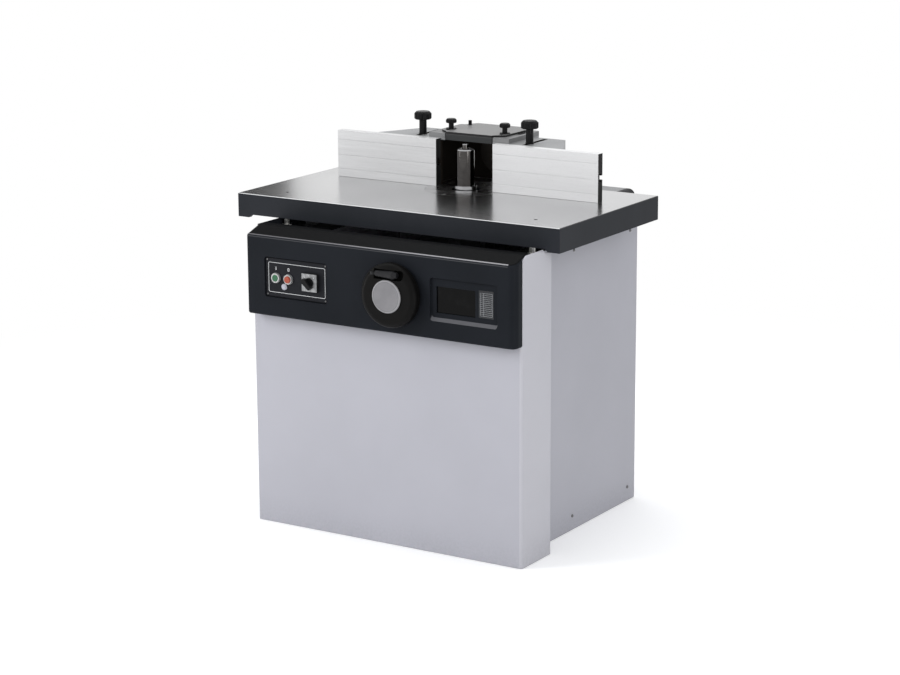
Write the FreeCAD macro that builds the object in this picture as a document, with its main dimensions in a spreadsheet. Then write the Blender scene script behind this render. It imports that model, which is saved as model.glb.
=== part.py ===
import FreeCAD, Part
import math
import os
import re

import Sketcher

# Spindle moulder. Millimetres, +Z up, +X to the operator's right, +Y away from the operator.
# The origin is on the floor, straight under the spindle's axis.

SIZES = {
    # clearances
    "slide_gap": 0.3,
    "running_gap": 0.05,
    "seat_gap": 0.1,
    # table casting
    "table_height": 890,
    "table_width": 1022,
    "table_depth": 544,
    "table_back": 174,
    "table_plate": 14,
    "table_edge": 1.5,
    "skirt_height": 66,
    "skirt_wall": 12,
    "skirt_relief": 8,
    "skirt_foot": 36,
    "rib_wall": 10,
    "rib_height": 40,
    "rib_share": 0.587,
    "rib_depth_share": 0.6486,
    "opening_boss_radius": 114,
    "opening_boss_height": 26,
    "opening_radius": 92,
    "table_hole_radius": 5,
    "table_hole_side_inset": 114,
    "table_hole_front_inset": 74,
    # table rings
    "ring_radius": 115,
    "ring_height": 8,
    "ring_ledge_height": 4,
    "ring_ledge_radius": 75,
    "inner_ring_radius": 82,
    "inner_ring_bore": 40,
    "ring_screw_circle": 103,
    "ring_screw_count": 3,
    "ring_screw_angle": 267,
    "screw_head_radius": 5,
    "screw_head_height": 4,
    "screw_shank_radius": 3,
    "screw_length": 20,
    # rear rail
    "rail_inset": 129,
    "rail_width": 60,
    "rail_height": 40,
    "rail_wall": 5,
    "rail_slot": 14,
    "rail_cap_length": 25,
    "rail_cap_corner": 18,
    # cabinet
    "cabinet_reach": 115,
    "cabinet_rear_reach": 62,
    "cabinet_left_inset": 134,
    "cabinet_right_inset": 96,
    "sheet_wall": 3,
    "front_panel_lap": 45,
    "front_panel_lip": 20,
    "column_width": 53,
    "column_depth": 148,
    "column_rise": 27,
    "column_top_depth": 114,
    "column_shoulder_gap": 3,
    "column_corner": 25,
    "column_bend": 8,
    "base_height": 50,
    "base_wall": 4,
    "base_floor": 6,
    "base_flange": 60,
    "base_tie_width": 80,
    "anchor_radius": 7,
    "anchor_inset": 30,
    "top_frame_reach": 30,
    "top_frame_bar": 60,
    "top_frame_height": 30,
    "jack_radius": 8,
    "jack_nut_radius": 14,
    "jack_nut_height": 11,
    "jack_pad": 17,
    "jack_gap": 18,
    "jack_left_inset": 24,
    "jack_right_inset": 27,
    "jack_column_offset": 9,
    "jack_front_inset": 9,
    "jack_back_inset": 34,
    # rear access door and dust outlets
    "door_inset": 121,
    "door_right": 56,
    "door_bottom": 114,
    "door_top": 566,
    "door_depth": 12,
    "door_overlap": 18,
    "hinge_radius": 6,
    "hinge_pin_radius": 3,
    "hinge_height": 40,
    "hinge_low": 170,
    "hinge_high": 430,
    "hinge_leaf": 26,
    "pull_height": 110,
    "pull_reach": 30,
    "pull_bar": 10,
    "outlet_radius": 60,
    "outlet_wall": 3,
    "outlet_length": 55,
    "outlet_flange": 76,
    "outlet_side": 220,
    "outlet_height": 300,
    # control panel
    "panel_proud": 37,
    "panel_height": 237,
    "panel_slope_height": 18,
    "panel_slope_depth": 54,
    "panel_top_depth": 31,
    "panel_wall": 4,
    "panel_corner": 8,
    "panel_right_corner": 20,
    "panel_bend_corner": 8,
    "panel_foot_corner": 6,
    "panel_cheek_gap": 5,
    "panel_cheek_height": 26,
    "recess_share": 0.2423,
    "recess_height": 110,
    "recess_depth": 7,
    "recess_corner": 8,
    "recess_sill": 9,
    "recess_left_share": 0.1912,
    "recess_right_share": 0.1829,
    "recess_drop": 129,
    "window_left_share": 0.4216,
    "window_right_share": 0.1569,
    "window_below": 38,
    "window_above": 32,
    "pane_margin": 8,
    "pane_wall": 3,
    "plate_wall": 3,
    "plate_margin": 3,
    "start_share": 0.3235,
    "stop_share": 0.1225,
    "button_drop": 1,
    "button_radius": 9.5,
    "button_travel": 4,
    "start_proud": 1,
    "stop_proud": 4,
    "bezel_radius": 14.5,
    "bezel_height": 6,
    "bezel_neck": 11,
    "button_depth": 24,
    "lamp_share": 0.1912,
    "lamp_drop": 22,
    "lamp_radius": 8.5,
    "lamp_height": 5,
    "lamp_neck": 6,
    "switch_share": 0.2378,
    "switch_side": 48,
    "switch_height": 10,
    "switch_shaft": 8,
    "switch_disc": 14,
    "switch_disc_height": 5,
    "switch_grip_length": 36,
    "switch_grip_width": 14,
    "switch_grip_height": 14,
    "switch_grip_turn": 45,
    "switch_box_depth": 46,
    # handwheel and lift drive
    "wheel_x": 102,
    "wheel_drop": 131,
    "wheel_radius": 86,
    "wheel_stand_off": 4,
    "wheel_thickness": 32,
    "wheel_bevel": 8,
    "wheel_shoulder": 16,
    "wheel_rim": 14,
    "wheel_web": 27,
    "wheel_hub": 22,
    "wheel_cap_radius": 44,
    "wheel_cap_height": 4,
    "shaft_radius": 8,
    "bush_radius": 14,
    "bush_flange": 22,
    "bush_flange_height": 5,
    "bush_length": 24,
    "handle_rise": 58,
    "handle_pivot": 46,
    "handle_sink": 6,
    "handle_grip_start": 10,
    "handle_grip_length": 66,
    "handle_finger_reach": 6,
    "handle_small_radius": 8,
    "handle_large_radius": 12,
    "handle_eye_radius": 8,
    "handle_tongue": 8,
    "handle_pin_radius": 3,
    "handle_pin_low": 16,
    "handle_pin_high": 6,
    "handle_room": 1.5,
    "gearbox_y": -110,
    "gearbox_side": 72,
    "gearbox_edge": 6,
    "gearbox_cover_radius": 28,
    "gearbox_cover_height": 6,
    "gearbox_seat": 22,
    "bracket_width": 60,
    "bracket_depth": 70,
    "bracket_wall": 8,
    "bracket_flange": 40,
    "screw_radius": 10,
    "screw_drop": 376,
    "nut_radius": 16,
    "nut_flange": 24,
    "nut_flange_height": 6,
    "nut_above_arm": 4,
    # spindle carriage
    "column_guide_x": 70,
    "column_guide_y": 130,
    "column_guide_radius": 15,
    "column_guide_length": 476,
    "column_flange_radius": 30,
    "column_flange_height": 10,
    "yoke_height": 18,
    "yoke_margin": 25,
    "quill_radius": 55,
    "quill_bore": 40,
    "quill_length": 236,
    "quill_drop": 10,
    "guide_bush_radius": 26,
    "guide_bush_rise": 10,
    "guide_bush_height": 130,
    "guide_web_rise": 30,
    "guide_web_height": 90,
    "arm_rise": 2,
    "arm_height": 23,
    "arm_boss_radius": 30,
    "arm_half_width": 24,
    "motor_web_front": 112,
    "motor_web_wall": 12,
    "motor_web_rise": 110,
    "bearing_height": 23,
    "bearing_inset": 8,
    "bearing_seat": 24,
    # motor and belt drive
    "motor_x": -200,
    "motor_y": 40,
    "motor_radius": 66,
    "motor_fin": 9,
    "motor_fin_wall": 4,
    "motor_fin_count": 18,
    "motor_length": 260,
    "motor_flange_radius": 82,
    "motor_flange_height": 12,
    "motor_fan_length": 50,
    "motor_fan_radius": 77,
    "motor_box_width": 90,
    "motor_box_depth": 42,
    "motor_box_height": 80,
    "motor_plate_drop": 100,
    "motor_plate_wall": 12,
    "motor_plate_margin": 6,
    "motor_spigot": 36,
    "motor_shaft_radius": 14,
    "motor_shaft_depth": 60,
    "pulley_drop": 74,
    "pulley_step": 20,
    "pulley_groove_depth": 8,
    "pulley_groove_floor": 8,
    "pulley_groove_mouth": 13,
    "spindle_pulley_small": 34,
    "spindle_pulley_middle": 42,
    "spindle_pulley_large": 50,
    "motor_pulley_small": 54,
    "motor_pulley_middle": 62,
    "motor_pulley_large": 70,
    "belt_thickness": 8,
    # spindle
    "arbor_radius": 25,
    "arbor_seat_rise": 10,
    "arbor_length": 102,
    "arbor_bevel": 3,
    "arbor_flange_radius": 31,
    "arbor_flange_height": 16,
    "arbor_neck_radius": 28,
    "arbor_journal": 22.5,
    "arbor_pulley_seat": 17,
    "arbor_end": 8,
    "cap_screw_radius": 9.5,
    "cap_screw_flat": 7.5,
    "cap_screw_height": 14,
    "cap_screw_bevel": 2,
    "cap_shank_radius": 8,
    "cap_shank_length": 27,
    # fence
    "fence_face": 8,
    "plate_thickness": 24,
    "plate_length": 331,
    "plate_height": 132.7,
    "plate_gap_half": 92,
    "face_groove": 1,
    "slot_mouth": 12,
    "slot_lip": 7,
    "slot_width": 22,
    "slot_depth": 16,
    "bolt_wall_space": 20,
    "bolt_far": 262,
    "bolt_radius": 5,
    "bolt_head": 20,
    "bolt_head_height": 7,
    "bolt_nut_radius": 8,
    "bolt_nut_height": 8,
    "hood_half_width": 130,
    "hood_back": 187,
    "hood_height": 146.7,
    "hood_wall": 12,
    "hood_front_wall": 10,
    "hood_corner": 6,
    "shelf_inner": 78,
    "shelf_depth": 80,
    "shelf_wall": 19,
    "hood_outlet_rise": 74.7,
    "hood_outlet_length": 55,
    "wing_front_x": 302,
    "wing_back_x": 228,
    "wing_depth": 142,
    "wing_wall": 8,
    "clamp_x": 174,
    "clamp_y": 54,
    "clamp_slot_front": 27,
    "clamp_slot_back": 143,
    "clamp_slot_width": 14,
    "cover_wall": 5,
    "cover_lip_wall": 6,
    "cover_lip_half": 75,
    "cover_lip_height": 23.3,
    "cover_half_width": 104,
    "cover_ear": 44,
    "cover_back": 195,
    "cover_back_half": 78,
    "cover_back_corner": 150,
    "cover_slot_width": 9.5,
    "cover_travel": 20,
    "cover_knob_x": 87.5,
    "cover_knob_y": 66,
    "stud_x": -80,
    "stud_y": 155,
    "stud_radius": 5,
    "stud_height": 13,
    # clamp knobs
    "clamp_stud_radius": 6,
    "clamp_stem_radius": 10.5,
    "clamp_stem_height": 42,
    "clamp_washer_radius": 12,
    "clamp_head_radius": 24.5,
    "clamp_head_height": 22,
    "cover_stud_radius": 4,
    "cover_stem_radius": 7.2,
    "cover_stem_height": 17,
    "cover_washer_radius": 14.5,
    "cover_head_radius": 15.2,
    "cover_head_height": 12,
    "knob_washer_height": 2.5,
    "knob_lobes": 7,
    "knob_scallop": 0.32,
}

# Places and sizes that follow from the ones above.
PLACES = {
    "table_side": "table_width / 2",
    "table_front": "table_depth - table_back",
    "table_under": "table_height - table_plate",
    "table_bottom": "table_height - skirt_height",
    "jack_top": "table_bottom + skirt_relief",
    "rib_bottom": "table_under - rib_height",
    "rib_side": "table_side * rib_share",
    "rib_front": "table_front * rib_depth_share",
    "table_hole_side": "table_side - table_hole_side_inset",
    "table_hole_front": "table_front - table_hole_front_inset",
    "ring_bottom": "table_height - ring_height",
    "inner_ring_bottom": "table_height - ring_ledge_height",
    "rail_half_length": "table_side - rail_inset",
    "rail_top": "table_height - slide_gap",
    "rail_bottom": "rail_top - rail_height",
    "rail_back": "table_back + rail_width",
    "cabinet_front": "table_front + cabinet_reach",
    "cabinet_back": "table_back + cabinet_rear_reach",
    "cabinet_left": "table_side - cabinet_left_inset",
    "cabinet_right": "table_side - cabinet_right_inset",
    "cabinet_top": "table_bottom - jack_gap",
    "jack_left": "cabinet_left - jack_left_inset",
    "jack_right_front": "cabinet_right + jack_column_offset",
    "jack_right_back": "cabinet_right - jack_right_inset",
    "jack_front": "table_front - jack_front_inset",
    "jack_back": "table_back - jack_back_inset",
    "inside_left": "sheet_wall - cabinet_left",
    "inside_right": "cabinet_right - sheet_wall",
    "inside_front": "sheet_wall - cabinet_front",
    "inside_back": "cabinet_back - sheet_wall",
    "column_right": "cabinet_right + column_width",
    "column_back": "column_depth - cabinet_front",
    "column_step": "column_top_depth - cabinet_front",
    "column_top": "cabinet_top + column_rise",
    "column_shoulder": "table_bottom - column_shoulder_gap",
    "top_frame_front": "table_front + top_frame_reach",
    "top_frame_bottom": "cabinet_top - top_frame_height",
    "door_left": "cabinet_left - door_inset",
    "door_face": "cabinet_back + slide_gap",
    "door_outer": "door_face + door_depth",
    "hinge_x": "-door_left - hinge_radius",
    "hinge_y": "cabinet_back + hinge_radius",
    "panel_left": "cabinet_left - sheet_wall",
    "panel_width": "panel_left + column_right",
    "panel_cheek_back": "-rib_front - rib_wall / 2 - panel_cheek_gap",
    "panel_top": "jack_top",
    "panel_bend": "panel_top - panel_slope_height",
    "panel_bottom": "panel_top - panel_height",
    "front_panel_top": "panel_bottom + front_panel_lap",
    "panel_front": "-cabinet_front - panel_proud",
    "panel_ridge": "panel_front + panel_slope_depth",
    "panel_inside": "panel_front + panel_wall",
    "recess_width": "panel_width * recess_share",
    "recess_left_x": "panel_width * recess_left_share - panel_left",
    "recess_right_x": "column_right - panel_width * recess_right_share",
    "recess_z": "panel_top - recess_drop",
    "recess_floor": "panel_front + recess_depth",
    "recess_back": "recess_floor + panel_wall",
    "window_left": "recess_right_x - recess_width * window_left_share",
    "window_right": "recess_right_x + recess_width * window_right_share",
    "window_bottom": "recess_z - window_below",
    "window_top": "recess_z + window_above",
    "start_x": "recess_left_x - recess_width * start_share",
    "stop_x": "recess_left_x - recess_width * stop_share",
    "lamp_x": "recess_left_x - recess_width * lamp_share",
    "switch_x": "recess_left_x + recess_width * switch_share",
    "button_z": "recess_z - button_drop",
    "lamp_z": "button_z - lamp_drop",
    "plate_face": "recess_floor - plate_wall",
    "bezel_face": "plate_face - bezel_height",
    "button_back": "plate_face + button_depth",
    "switch_face": "plate_face - switch_height",
    "wheel_z": "panel_top - wheel_drop",
    "wheel_back": "panel_front - wheel_stand_off",
    "wheel_face": "wheel_back - wheel_thickness",
    "handle_y": "wheel_face + handle_sink",
    "handle_z": "wheel_z + handle_rise",
    "handle_x": "wheel_x - handle_pivot",
    "pocket_floor": "handle_y + handle_large_radius + handle_room",
    "gearbox_half": "gearbox_side / 2",
    "gearbox_bottom": "wheel_z - gearbox_half",
    "gearbox_top": "wheel_z + gearbox_half",
    "screw_top": "gearbox_bottom - slide_gap",
    "screw_bottom": "table_under - screw_drop",
    "screw_hole": "screw_radius + running_gap",
    "column_guide_hole": "column_guide_radius + running_gap",
    "column_guide_bottom": "table_under - column_guide_length",
    "quill_top": "table_under - quill_drop",
    "quill_bottom": "quill_top - quill_length",
    "guide_bush_bottom": "quill_bottom + guide_bush_rise",
    "guide_bush_top": "guide_bush_bottom + guide_bush_height",
    "guide_web_bottom": "quill_bottom + guide_web_rise",
    "guide_web_top": "guide_web_bottom + guide_web_height",
    "arm_bottom": "quill_bottom + arm_rise",
    "arm_top": "arm_bottom + arm_height",
    "motor_web_top": "quill_bottom + motor_web_rise",
    "motor_plate_top": "quill_bottom - motor_plate_drop",
    "motor_plate_bottom": "motor_plate_top - motor_plate_wall",
    "motor_bottom": "motor_plate_bottom - motor_length",
    "motor_web_left": "motor_x - motor_flange_radius",
    "pulley_bottom": "quill_bottom - pulley_drop",
    "pulley_top": "pulley_bottom + 3 * pulley_step",
    "arbor_bottom": "pulley_bottom - arbor_end",
    "arbor_seat": "table_height + arbor_seat_rise",
    "arbor_top": "arbor_seat + arbor_length",
    "fence_floor": "table_height + slide_gap",
    "plate_back": "plate_thickness - fence_face",
    "plate_top": "fence_floor + plate_height",
    "slot_z": "fence_floor + plate_height / 2",
    "bolt_near": "hood_half_width + bolt_wall_space",
    "slot_bottom": "plate_back - slot_depth",
    "slot_shoulder": "plate_back - slot_lip",
    "wing_top": "plate_top",
    "hood_top": "fence_floor + hood_height",
    "hood_outlet_z": "fence_floor + hood_outlet_rise",
    "hood_front": "plate_back + slide_gap",
    "hood_inside": "hood_front + hood_front_wall",
    "wing_back": "hood_front + wing_depth",
    "wing_slope": "(wing_front_x - wing_back_x) / wing_depth",
    "wing_inset": "wing_wall * sqrt(1 + wing_slope * wing_slope)",
    "cover_bottom": "hood_top + slide_gap",
    "cover_top": "cover_bottom + cover_wall",
    "cover_lip_bottom": "cover_top - cover_lip_height",
    "cover_front": "hood_front + slide_gap",
    "cap_top": "arbor_top + cap_screw_height",
}

WORD = re.compile(r"[a-z][a-z_]*")
X_AXIS = FreeCAD.Vector(1, 0, 0)
Y_AXIS = FreeCAD.Vector(0, 1, 0)
Z_AXIS = FreeCAD.Vector(0, 0, 1)
AXIS_TURN = {
    "X": FreeCAD.Rotation(Y_AXIS, 90),
    "Y": FreeCAD.Rotation(X_AXIS, -90),
    "Z": FreeCAD.Rotation(),
}
MIRROR = {"left": "-1 * ", "right": ""}

doc = FreeCAD.newDocument("spindle_moulder")
sheet = doc.addObject("Spreadsheet::Sheet", "dims")
subparts = []


def fill_sheet():
    for row, (alias, size) in enumerate(SIZES.items(), start=1):
        sheet.set(f"A{row}", alias)
        sheet.set(f"B{row}", str(size))
        sheet.setAlias(f"B{row}", alias)
    doc.recompute()


def formula(text):
    """Spell out a size given in words as an expression on the sheet's cells."""
    def spell(match):
        word = match.group()
        if word in PLACES:
            return "(" + formula(PLACES[word]) + ")"
        if word in SIZES:
            return "dims." + word
        return word
    return WORD.sub(spell, str(text))


def value(text):
    return float(sheet.evalExpression(formula(text)))


def bind(item, prop, text):
    item.setExpression(prop, formula(text))


def place(item, x="0", y="0", z="0"):
    for axis, text in zip("xyz", (x, y, z)):
        bind(item, "Placement.Base." + axis, text)
    return item


def keep(item, label):
    """Mark a finished solid as the sub-part of that name."""
    item.Label = label
    subparts.append(item)
    return item


def box(name, x, y, z):
    solid = doc.addObject("Part::Box", name)
    spans = (x, y, z)
    for prop, (low, high) in zip(("Length", "Width", "Height"), spans):
        bind(solid, prop, f"({high}) - ({low})")
    return place(solid, *(low for low, high in spans))


def centred(middle, size):
    """The span of a given size about a middle."""
    return (f"({middle}) - ({size}) / 2", f"({middle}) + ({size}) / 2")


def stand(solid, axis, centre, low):
    """Turn a round solid on to an axis, with its foot at low."""
    solid.Placement = FreeCAD.Placement(FreeCAD.Vector(), AXIS_TURN[axis])
    first, second = centre
    at = {"X": (low, first, second), "Y": (first, low, second), "Z": (first, second, low)}
    return place(solid, *at[axis])


def rod(name, radius, axis, centre, span):
    solid = doc.addObject("Part::Cylinder", name)
    low, high = span
    bind(solid, "Radius", radius)
    bind(solid, "Height", f"({high}) - ({low})")
    return stand(solid, axis, centre, low)


def taper(name, radii, axis, centre, span):
    solid = doc.addObject("Part::Cone", name)
    low, high = span
    bind(solid, "Radius1", radii[0])
    bind(solid, "Radius2", radii[1])
    bind(solid, "Height", f"({high}) - ({low})")
    return stand(solid, axis, centre, low)


def fuse(name, solids):
    joined = doc.addObject("Part::MultiFuse", name)
    joined.Shapes = solids
    return joined


def cut(name, base, tools):
    result = doc.addObject("Part::Cut", name)
    result.Base = base
    result.Tool = tools[0] if len(tools) == 1 else fuse(name + "_cutters", tools)
    return result


def group(name, solids):
    together = doc.addObject("Part::Compound", name)
    together.Links = solids
    return together


def draw(body, plane, points, offset="0"):
    """A closed outline of straight lines, each corner tied to the sheet."""
    sketch = body.newObject("Sketcher::SketchObject", body.Name + "_outline")
    support = next(item for item in body.Origin.OriginFeatures if item.Role == plane)
    sketch.AttachmentSupport = [(support, "")]
    sketch.MapMode = "FlatFace"
    bind(sketch, "AttachmentOffset.Base.z", offset)
    corners = [FreeCAD.Vector(value(across), value(up), 0) for across, up in points]
    count = len(corners)
    for index, corner in enumerate(corners):
        sketch.addGeometry(Part.LineSegment(corner, corners[(index + 1) % count]), False)
    for index in range(count):
        sketch.addConstraint(Sketcher.Constraint("Coincident", index, 2, (index + 1) % count, 1))
    for index, corner in enumerate(corners):
        ties = (("DistanceX", corner.x), ("DistanceY", corner.y))
        for (kind, number), text in zip(ties, points[index]):
            tie = sketch.addConstraint(Sketcher.Constraint(kind, -1, 1, index, 1, number))
            bind(sketch, f"Constraints[{tie}]", text)
    return sketch


def prism(name, plane, points, span):
    """A straight-sided piece: an outline on a plane, drawn out over a span."""
    low, high = span
    body = doc.addObject("PartDesign::Body", name)
    offset = f"-1 * ({high})" if plane == "XZ_Plane" else low
    sketch = draw(body, plane, points, offset)
    pad = body.newObject("PartDesign::Pad", name + "_pad")
    pad.Profile = sketch
    bind(pad, "Length", f"({high}) - ({low})")
    return body


def turning(name, axis, centre, points):
    """A turned piece: an outline of radius and height, spun about Z or Y."""
    body = doc.addObject("PartDesign::Body", name)
    sketch = draw(body, "XZ_Plane" if axis == "Z" else "XY_Plane", points)
    spin = body.newObject("PartDesign::Revolution", name + "_spin")
    spin.Profile = sketch
    spin.ReferenceAxis = (sketch, ["V_Axis"])
    spin.Angle = 360
    first, second = centre
    if axis == "Z":
        return place(body, first, second)
    return place(body, first, "0", second)


def runs_along(edge, axis):
    if edge.Curve.TypeId != "Part::GeomLine":
        return False
    return abs(edge.tangentAt(edge.FirstParameter).dot(axis)) > 0.999


def near(point, x=None, y=None, z=None):
    """Whether a point lies at the places that are given."""
    for number, text in zip(point, (x, y, z)):
        if text is not None and abs(number - value(text)) > 0.01:
            return False
    return True


def round_edges(body, radius, chosen):
    """Round the chosen edges of a body made by outlines."""
    doc.recompute()
    base = body.Tip
    names = [f"Edge{number}" for number, edge in enumerate(base.Shape.Edges, start=1) if chosen(edge)]
    rounding = body.newObject("PartDesign::Fillet", body.Name + "_rounding")
    rounding.Base = (base, names)
    bind(rounding, "Radius", radius)
    body.Tip = rounding
    return body


def soften(kind, name, base, size, chosen):
    """Round or bevel the chosen edges of a solid made by booleans."""
    doc.recompute()
    result = doc.addObject(kind, name)
    result.Base = base
    amount = value(size)
    edges = enumerate(base.Shape.Edges, start=1)
    result.Edges = [(number, amount, amount) for number, edge in edges if chosen(edge)]
    return result


def ring_of(solid, name, count, centre):
    """Copies of a solid spread evenly round a vertical axis."""
    copies = []
    x, y = centre
    for number in range(int(value(count))):
        copy = doc.addObject("Part::Compound", f"{name}_{number}")
        copy.Links = [solid]
        turn = FreeCAD.Rotation(Z_AXIS, 360.0 * number / value(count))
        middle = FreeCAD.Vector(value(x), value(y), 0)
        copy.Placement = FreeCAD.Placement(middle - turn.multVec(middle), turn)
        copies.append(copy)
    return copies


# Table and what is set in it

def jack_places():
    left = "-jack_left"
    return (
        (left, "-jack_front"),
        ("jack_right_front", "-jack_front"),
        (left, "jack_back"),
        ("jack_right_back", "jack_back"),
    )


def ring_screw_places():
    """Evenly spread places on the outer ring, the first at the front."""
    places = []
    for number in range(int(value("ring_screw_count"))):
        turn = f"(ring_screw_angle + 360 / ring_screw_count * {number}) * 1deg"
        places.append((f"ring_screw_circle * cos({turn})", f"ring_screw_circle * sin({turn})"))
    return places


def make_table():
    block = box(
        "table_block",
        ("-table_side", "table_side"),
        ("-table_front", "table_back"),
        ("table_bottom", "table_height"),
    )
    hollow = box(
        "table_hollow",
        ("skirt_wall - table_side", "table_side - skirt_wall"),
        ("skirt_wall - table_front", "table_back - skirt_wall"),
        ("table_bottom", "table_under"),
    )
    relief = prism(
        "table_relief",
        "XZ_Plane",
        (
            ("skirt_foot - table_side", "table_bottom"),
            ("table_side - skirt_foot", "table_bottom"),
            ("table_side - skirt_foot - skirt_relief", "jack_top"),
            ("skirt_foot + skirt_relief - table_side", "jack_top"),
        ),
        ("-table_front", "skirt_wall - table_front"),
    )
    shell = cut("table_shell", block, [hollow, relief])
    ribs = [
        box(
            "table_rib_front",
            ("skirt_wall - table_side", "table_side - skirt_wall"),
            centred("-rib_front", "rib_wall"),
            ("rib_bottom", "table_under"),
        )
    ]
    for side, sign in MIRROR.items():
        ribs.append(
            box(
                f"table_rib_{side}",
                centred(f"{sign}rib_side", "rib_wall"),
                ("skirt_wall - table_front", "table_back - skirt_wall"),
                ("rib_bottom", "table_under"),
            )
        )
    boss = rod(
        "table_boss", "opening_boss_radius", "Z", ("0", "0"), ("table_under - opening_boss_height", "table_under")
    )
    pads = []
    for number, (x, y) in enumerate(jack_places()):
        reach = ("-table_front", "2 * jack_pad - table_front")
        depth = reach if y == "-jack_front" else centred(y, "2 * jack_pad")
        pads.append(box(f"table_pad_{number}", centred(x, "2 * jack_pad"), depth, ("jack_top", "table_under")))
    casting = fuse("table_casting", [shell, boss] + ribs + pads)
    holes = [
        rod("table_bore", "opening_radius", "Z", ("0", "0"), ("table_bottom", "table_height")),
        rod("table_seat", "ring_radius + seat_gap", "Z", ("0", "0"), ("ring_bottom", "table_height")),
    ]
    for side, sign in MIRROR.items():
        holes.append(
            rod(
                f"table_hole_{side}",
                "table_hole_radius",
                "Z",
                (f"{sign}table_hole_side", "-table_hole_front"),
                ("table_under", "table_height"),
            )
        )
        holes.append(
            rod(
                f"clamp_hole_{side}",
                "clamp_stud_radius + running_gap",
                "Z",
                (f"{sign}clamp_x", "clamp_y"),
                ("table_under", "table_height"),
            )
        )
    for number, place_of in enumerate(ring_screw_places()):
        span = ("table_height - screw_length - seat_gap", "ring_bottom")
        holes.append(rod(f"table_screw_hole_{number}", "screw_shank_radius + seat_gap", "Z", place_of, span))
    drilled = cut("table_drilled", casting, holes)

    def top_edge(edge):
        middle = edge.CenterOfMass
        straight = runs_along(edge, X_AXIS) or runs_along(edge, Y_AXIS)
        return straight and near(middle, z="table_height")

    keep(soften("Part::Chamfer", "table_top", drilled, "table_edge", top_edge), "table")


def make_rings():
    ring = turning(
        "outer_ring_blank",
        "Z",
        ("0", "0"),
        (
            ("ring_ledge_radius", "ring_bottom"),
            ("ring_radius", "ring_bottom"),
            ("ring_radius", "table_height"),
            ("inner_ring_radius + seat_gap", "table_height"),
            ("inner_ring_radius + seat_gap", "inner_ring_bottom"),
            ("ring_ledge_radius", "inner_ring_bottom"),
        ),
    )
    holes = []
    screws = []
    for number, place_of in enumerate(ring_screw_places()):
        head_span = ("table_height - screw_head_height", "table_height")
        shank_span = ("table_height - screw_length", "table_height - screw_head_height")
        through = ("ring_bottom", "table_height - screw_head_height")
        holes.append(rod(f"ring_sink_{number}", "screw_head_radius + seat_gap", "Z", place_of, head_span))
        holes.append(rod(f"ring_hole_{number}", "screw_shank_radius + seat_gap", "Z", place_of, through))
        head = rod(f"ring_screw_head_{number}", "screw_head_radius", "Z", place_of, head_span)
        shank = rod(f"ring_screw_shank_{number}", "screw_shank_radius", "Z", place_of, shank_span)
        screws.append(fuse(f"ring_screw_{number}", [head, shank]))
    keep(cut("outer_ring_drilled", ring, holes), "outer_ring")
    keep(group("ring_screw_set", screws), "ring_screws")
    inner = turning(
        "inner_ring_blank",
        "Z",
        ("0", "0"),
        (
            ("inner_ring_bore", "inner_ring_bottom"),
            ("inner_ring_radius", "inner_ring_bottom"),
            ("inner_ring_radius", "table_height"),
            ("inner_ring_bore", "table_height"),
        ),
    )
    keep(inner, "inner_ring")


def make_rear_rail():
    mouth_low = "(rail_bottom + rail_top) / 2 - rail_slot / 2"
    mouth_high = "(rail_bottom + rail_top) / 2 + rail_slot / 2"
    rail = prism(
        "rail_extrusion",
        "YZ_Plane",
        (
            ("table_back", "rail_bottom"),
            ("rail_back", "rail_bottom"),
            ("rail_back", mouth_low),
            ("rail_back - rail_wall", mouth_low),
            ("rail_back - rail_wall", "rail_bottom + rail_wall"),
            ("table_back + rail_wall", "rail_bottom + rail_wall"),
            ("table_back + rail_wall", "rail_top - rail_wall"),
            ("rail_back - rail_wall", "rail_top - rail_wall"),
            ("rail_back - rail_wall", mouth_high),
            ("rail_back", mouth_high),
            ("rail_back", "rail_top"),
            ("table_back", "rail_top"),
        ),
        ("-rail_half_length", "rail_half_length"),
    )
    keep(rail, "rear_rail")
    caps = []
    for side, sign in MIRROR.items():
        outer = f"{sign}(rail_half_length + rail_cap_length)"
        blank = prism(
            f"rail_cap_{side}",
            "XY_Plane",
            (
                (f"{sign}rail_half_length", "table_back"),
                (outer, "table_back"),
                (outer, "rail_back"),
                (f"{sign}rail_half_length", "rail_back"),
            ),
            ("rail_bottom", "rail_top"),
        )

        def outer_corner(edge):
            return runs_along(edge, Y_AXIS) and near(edge.CenterOfMass, x=outer, z="rail_top")

        caps.append(round_edges(blank, "rail_cap_corner", outer_corner))
    keep(group("rail_cap_pair", caps), "rail_end_caps")


def make_jack_bolts():
    bolts = []
    for number, (x, y) in enumerate(jack_places()):
        shank = rod(f"jack_shank_{number}", "jack_radius", "Z", (x, y), ("cabinet_top", "jack_top"))
        nut = doc.addObject("Part::Prism", f"jack_nut_{number}")
        nut.Polygon = 6
        bind(nut, "Circumradius", "jack_nut_radius")
        bind(nut, "Height", "jack_nut_height")
        place(nut, x, y, "cabinet_top")
        bolts.append(fuse(f"jack_bolt_{number}", [shank, nut]))
    keep(group("jack_bolt_set", bolts), "jack_bolts")


# Cabinet

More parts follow.
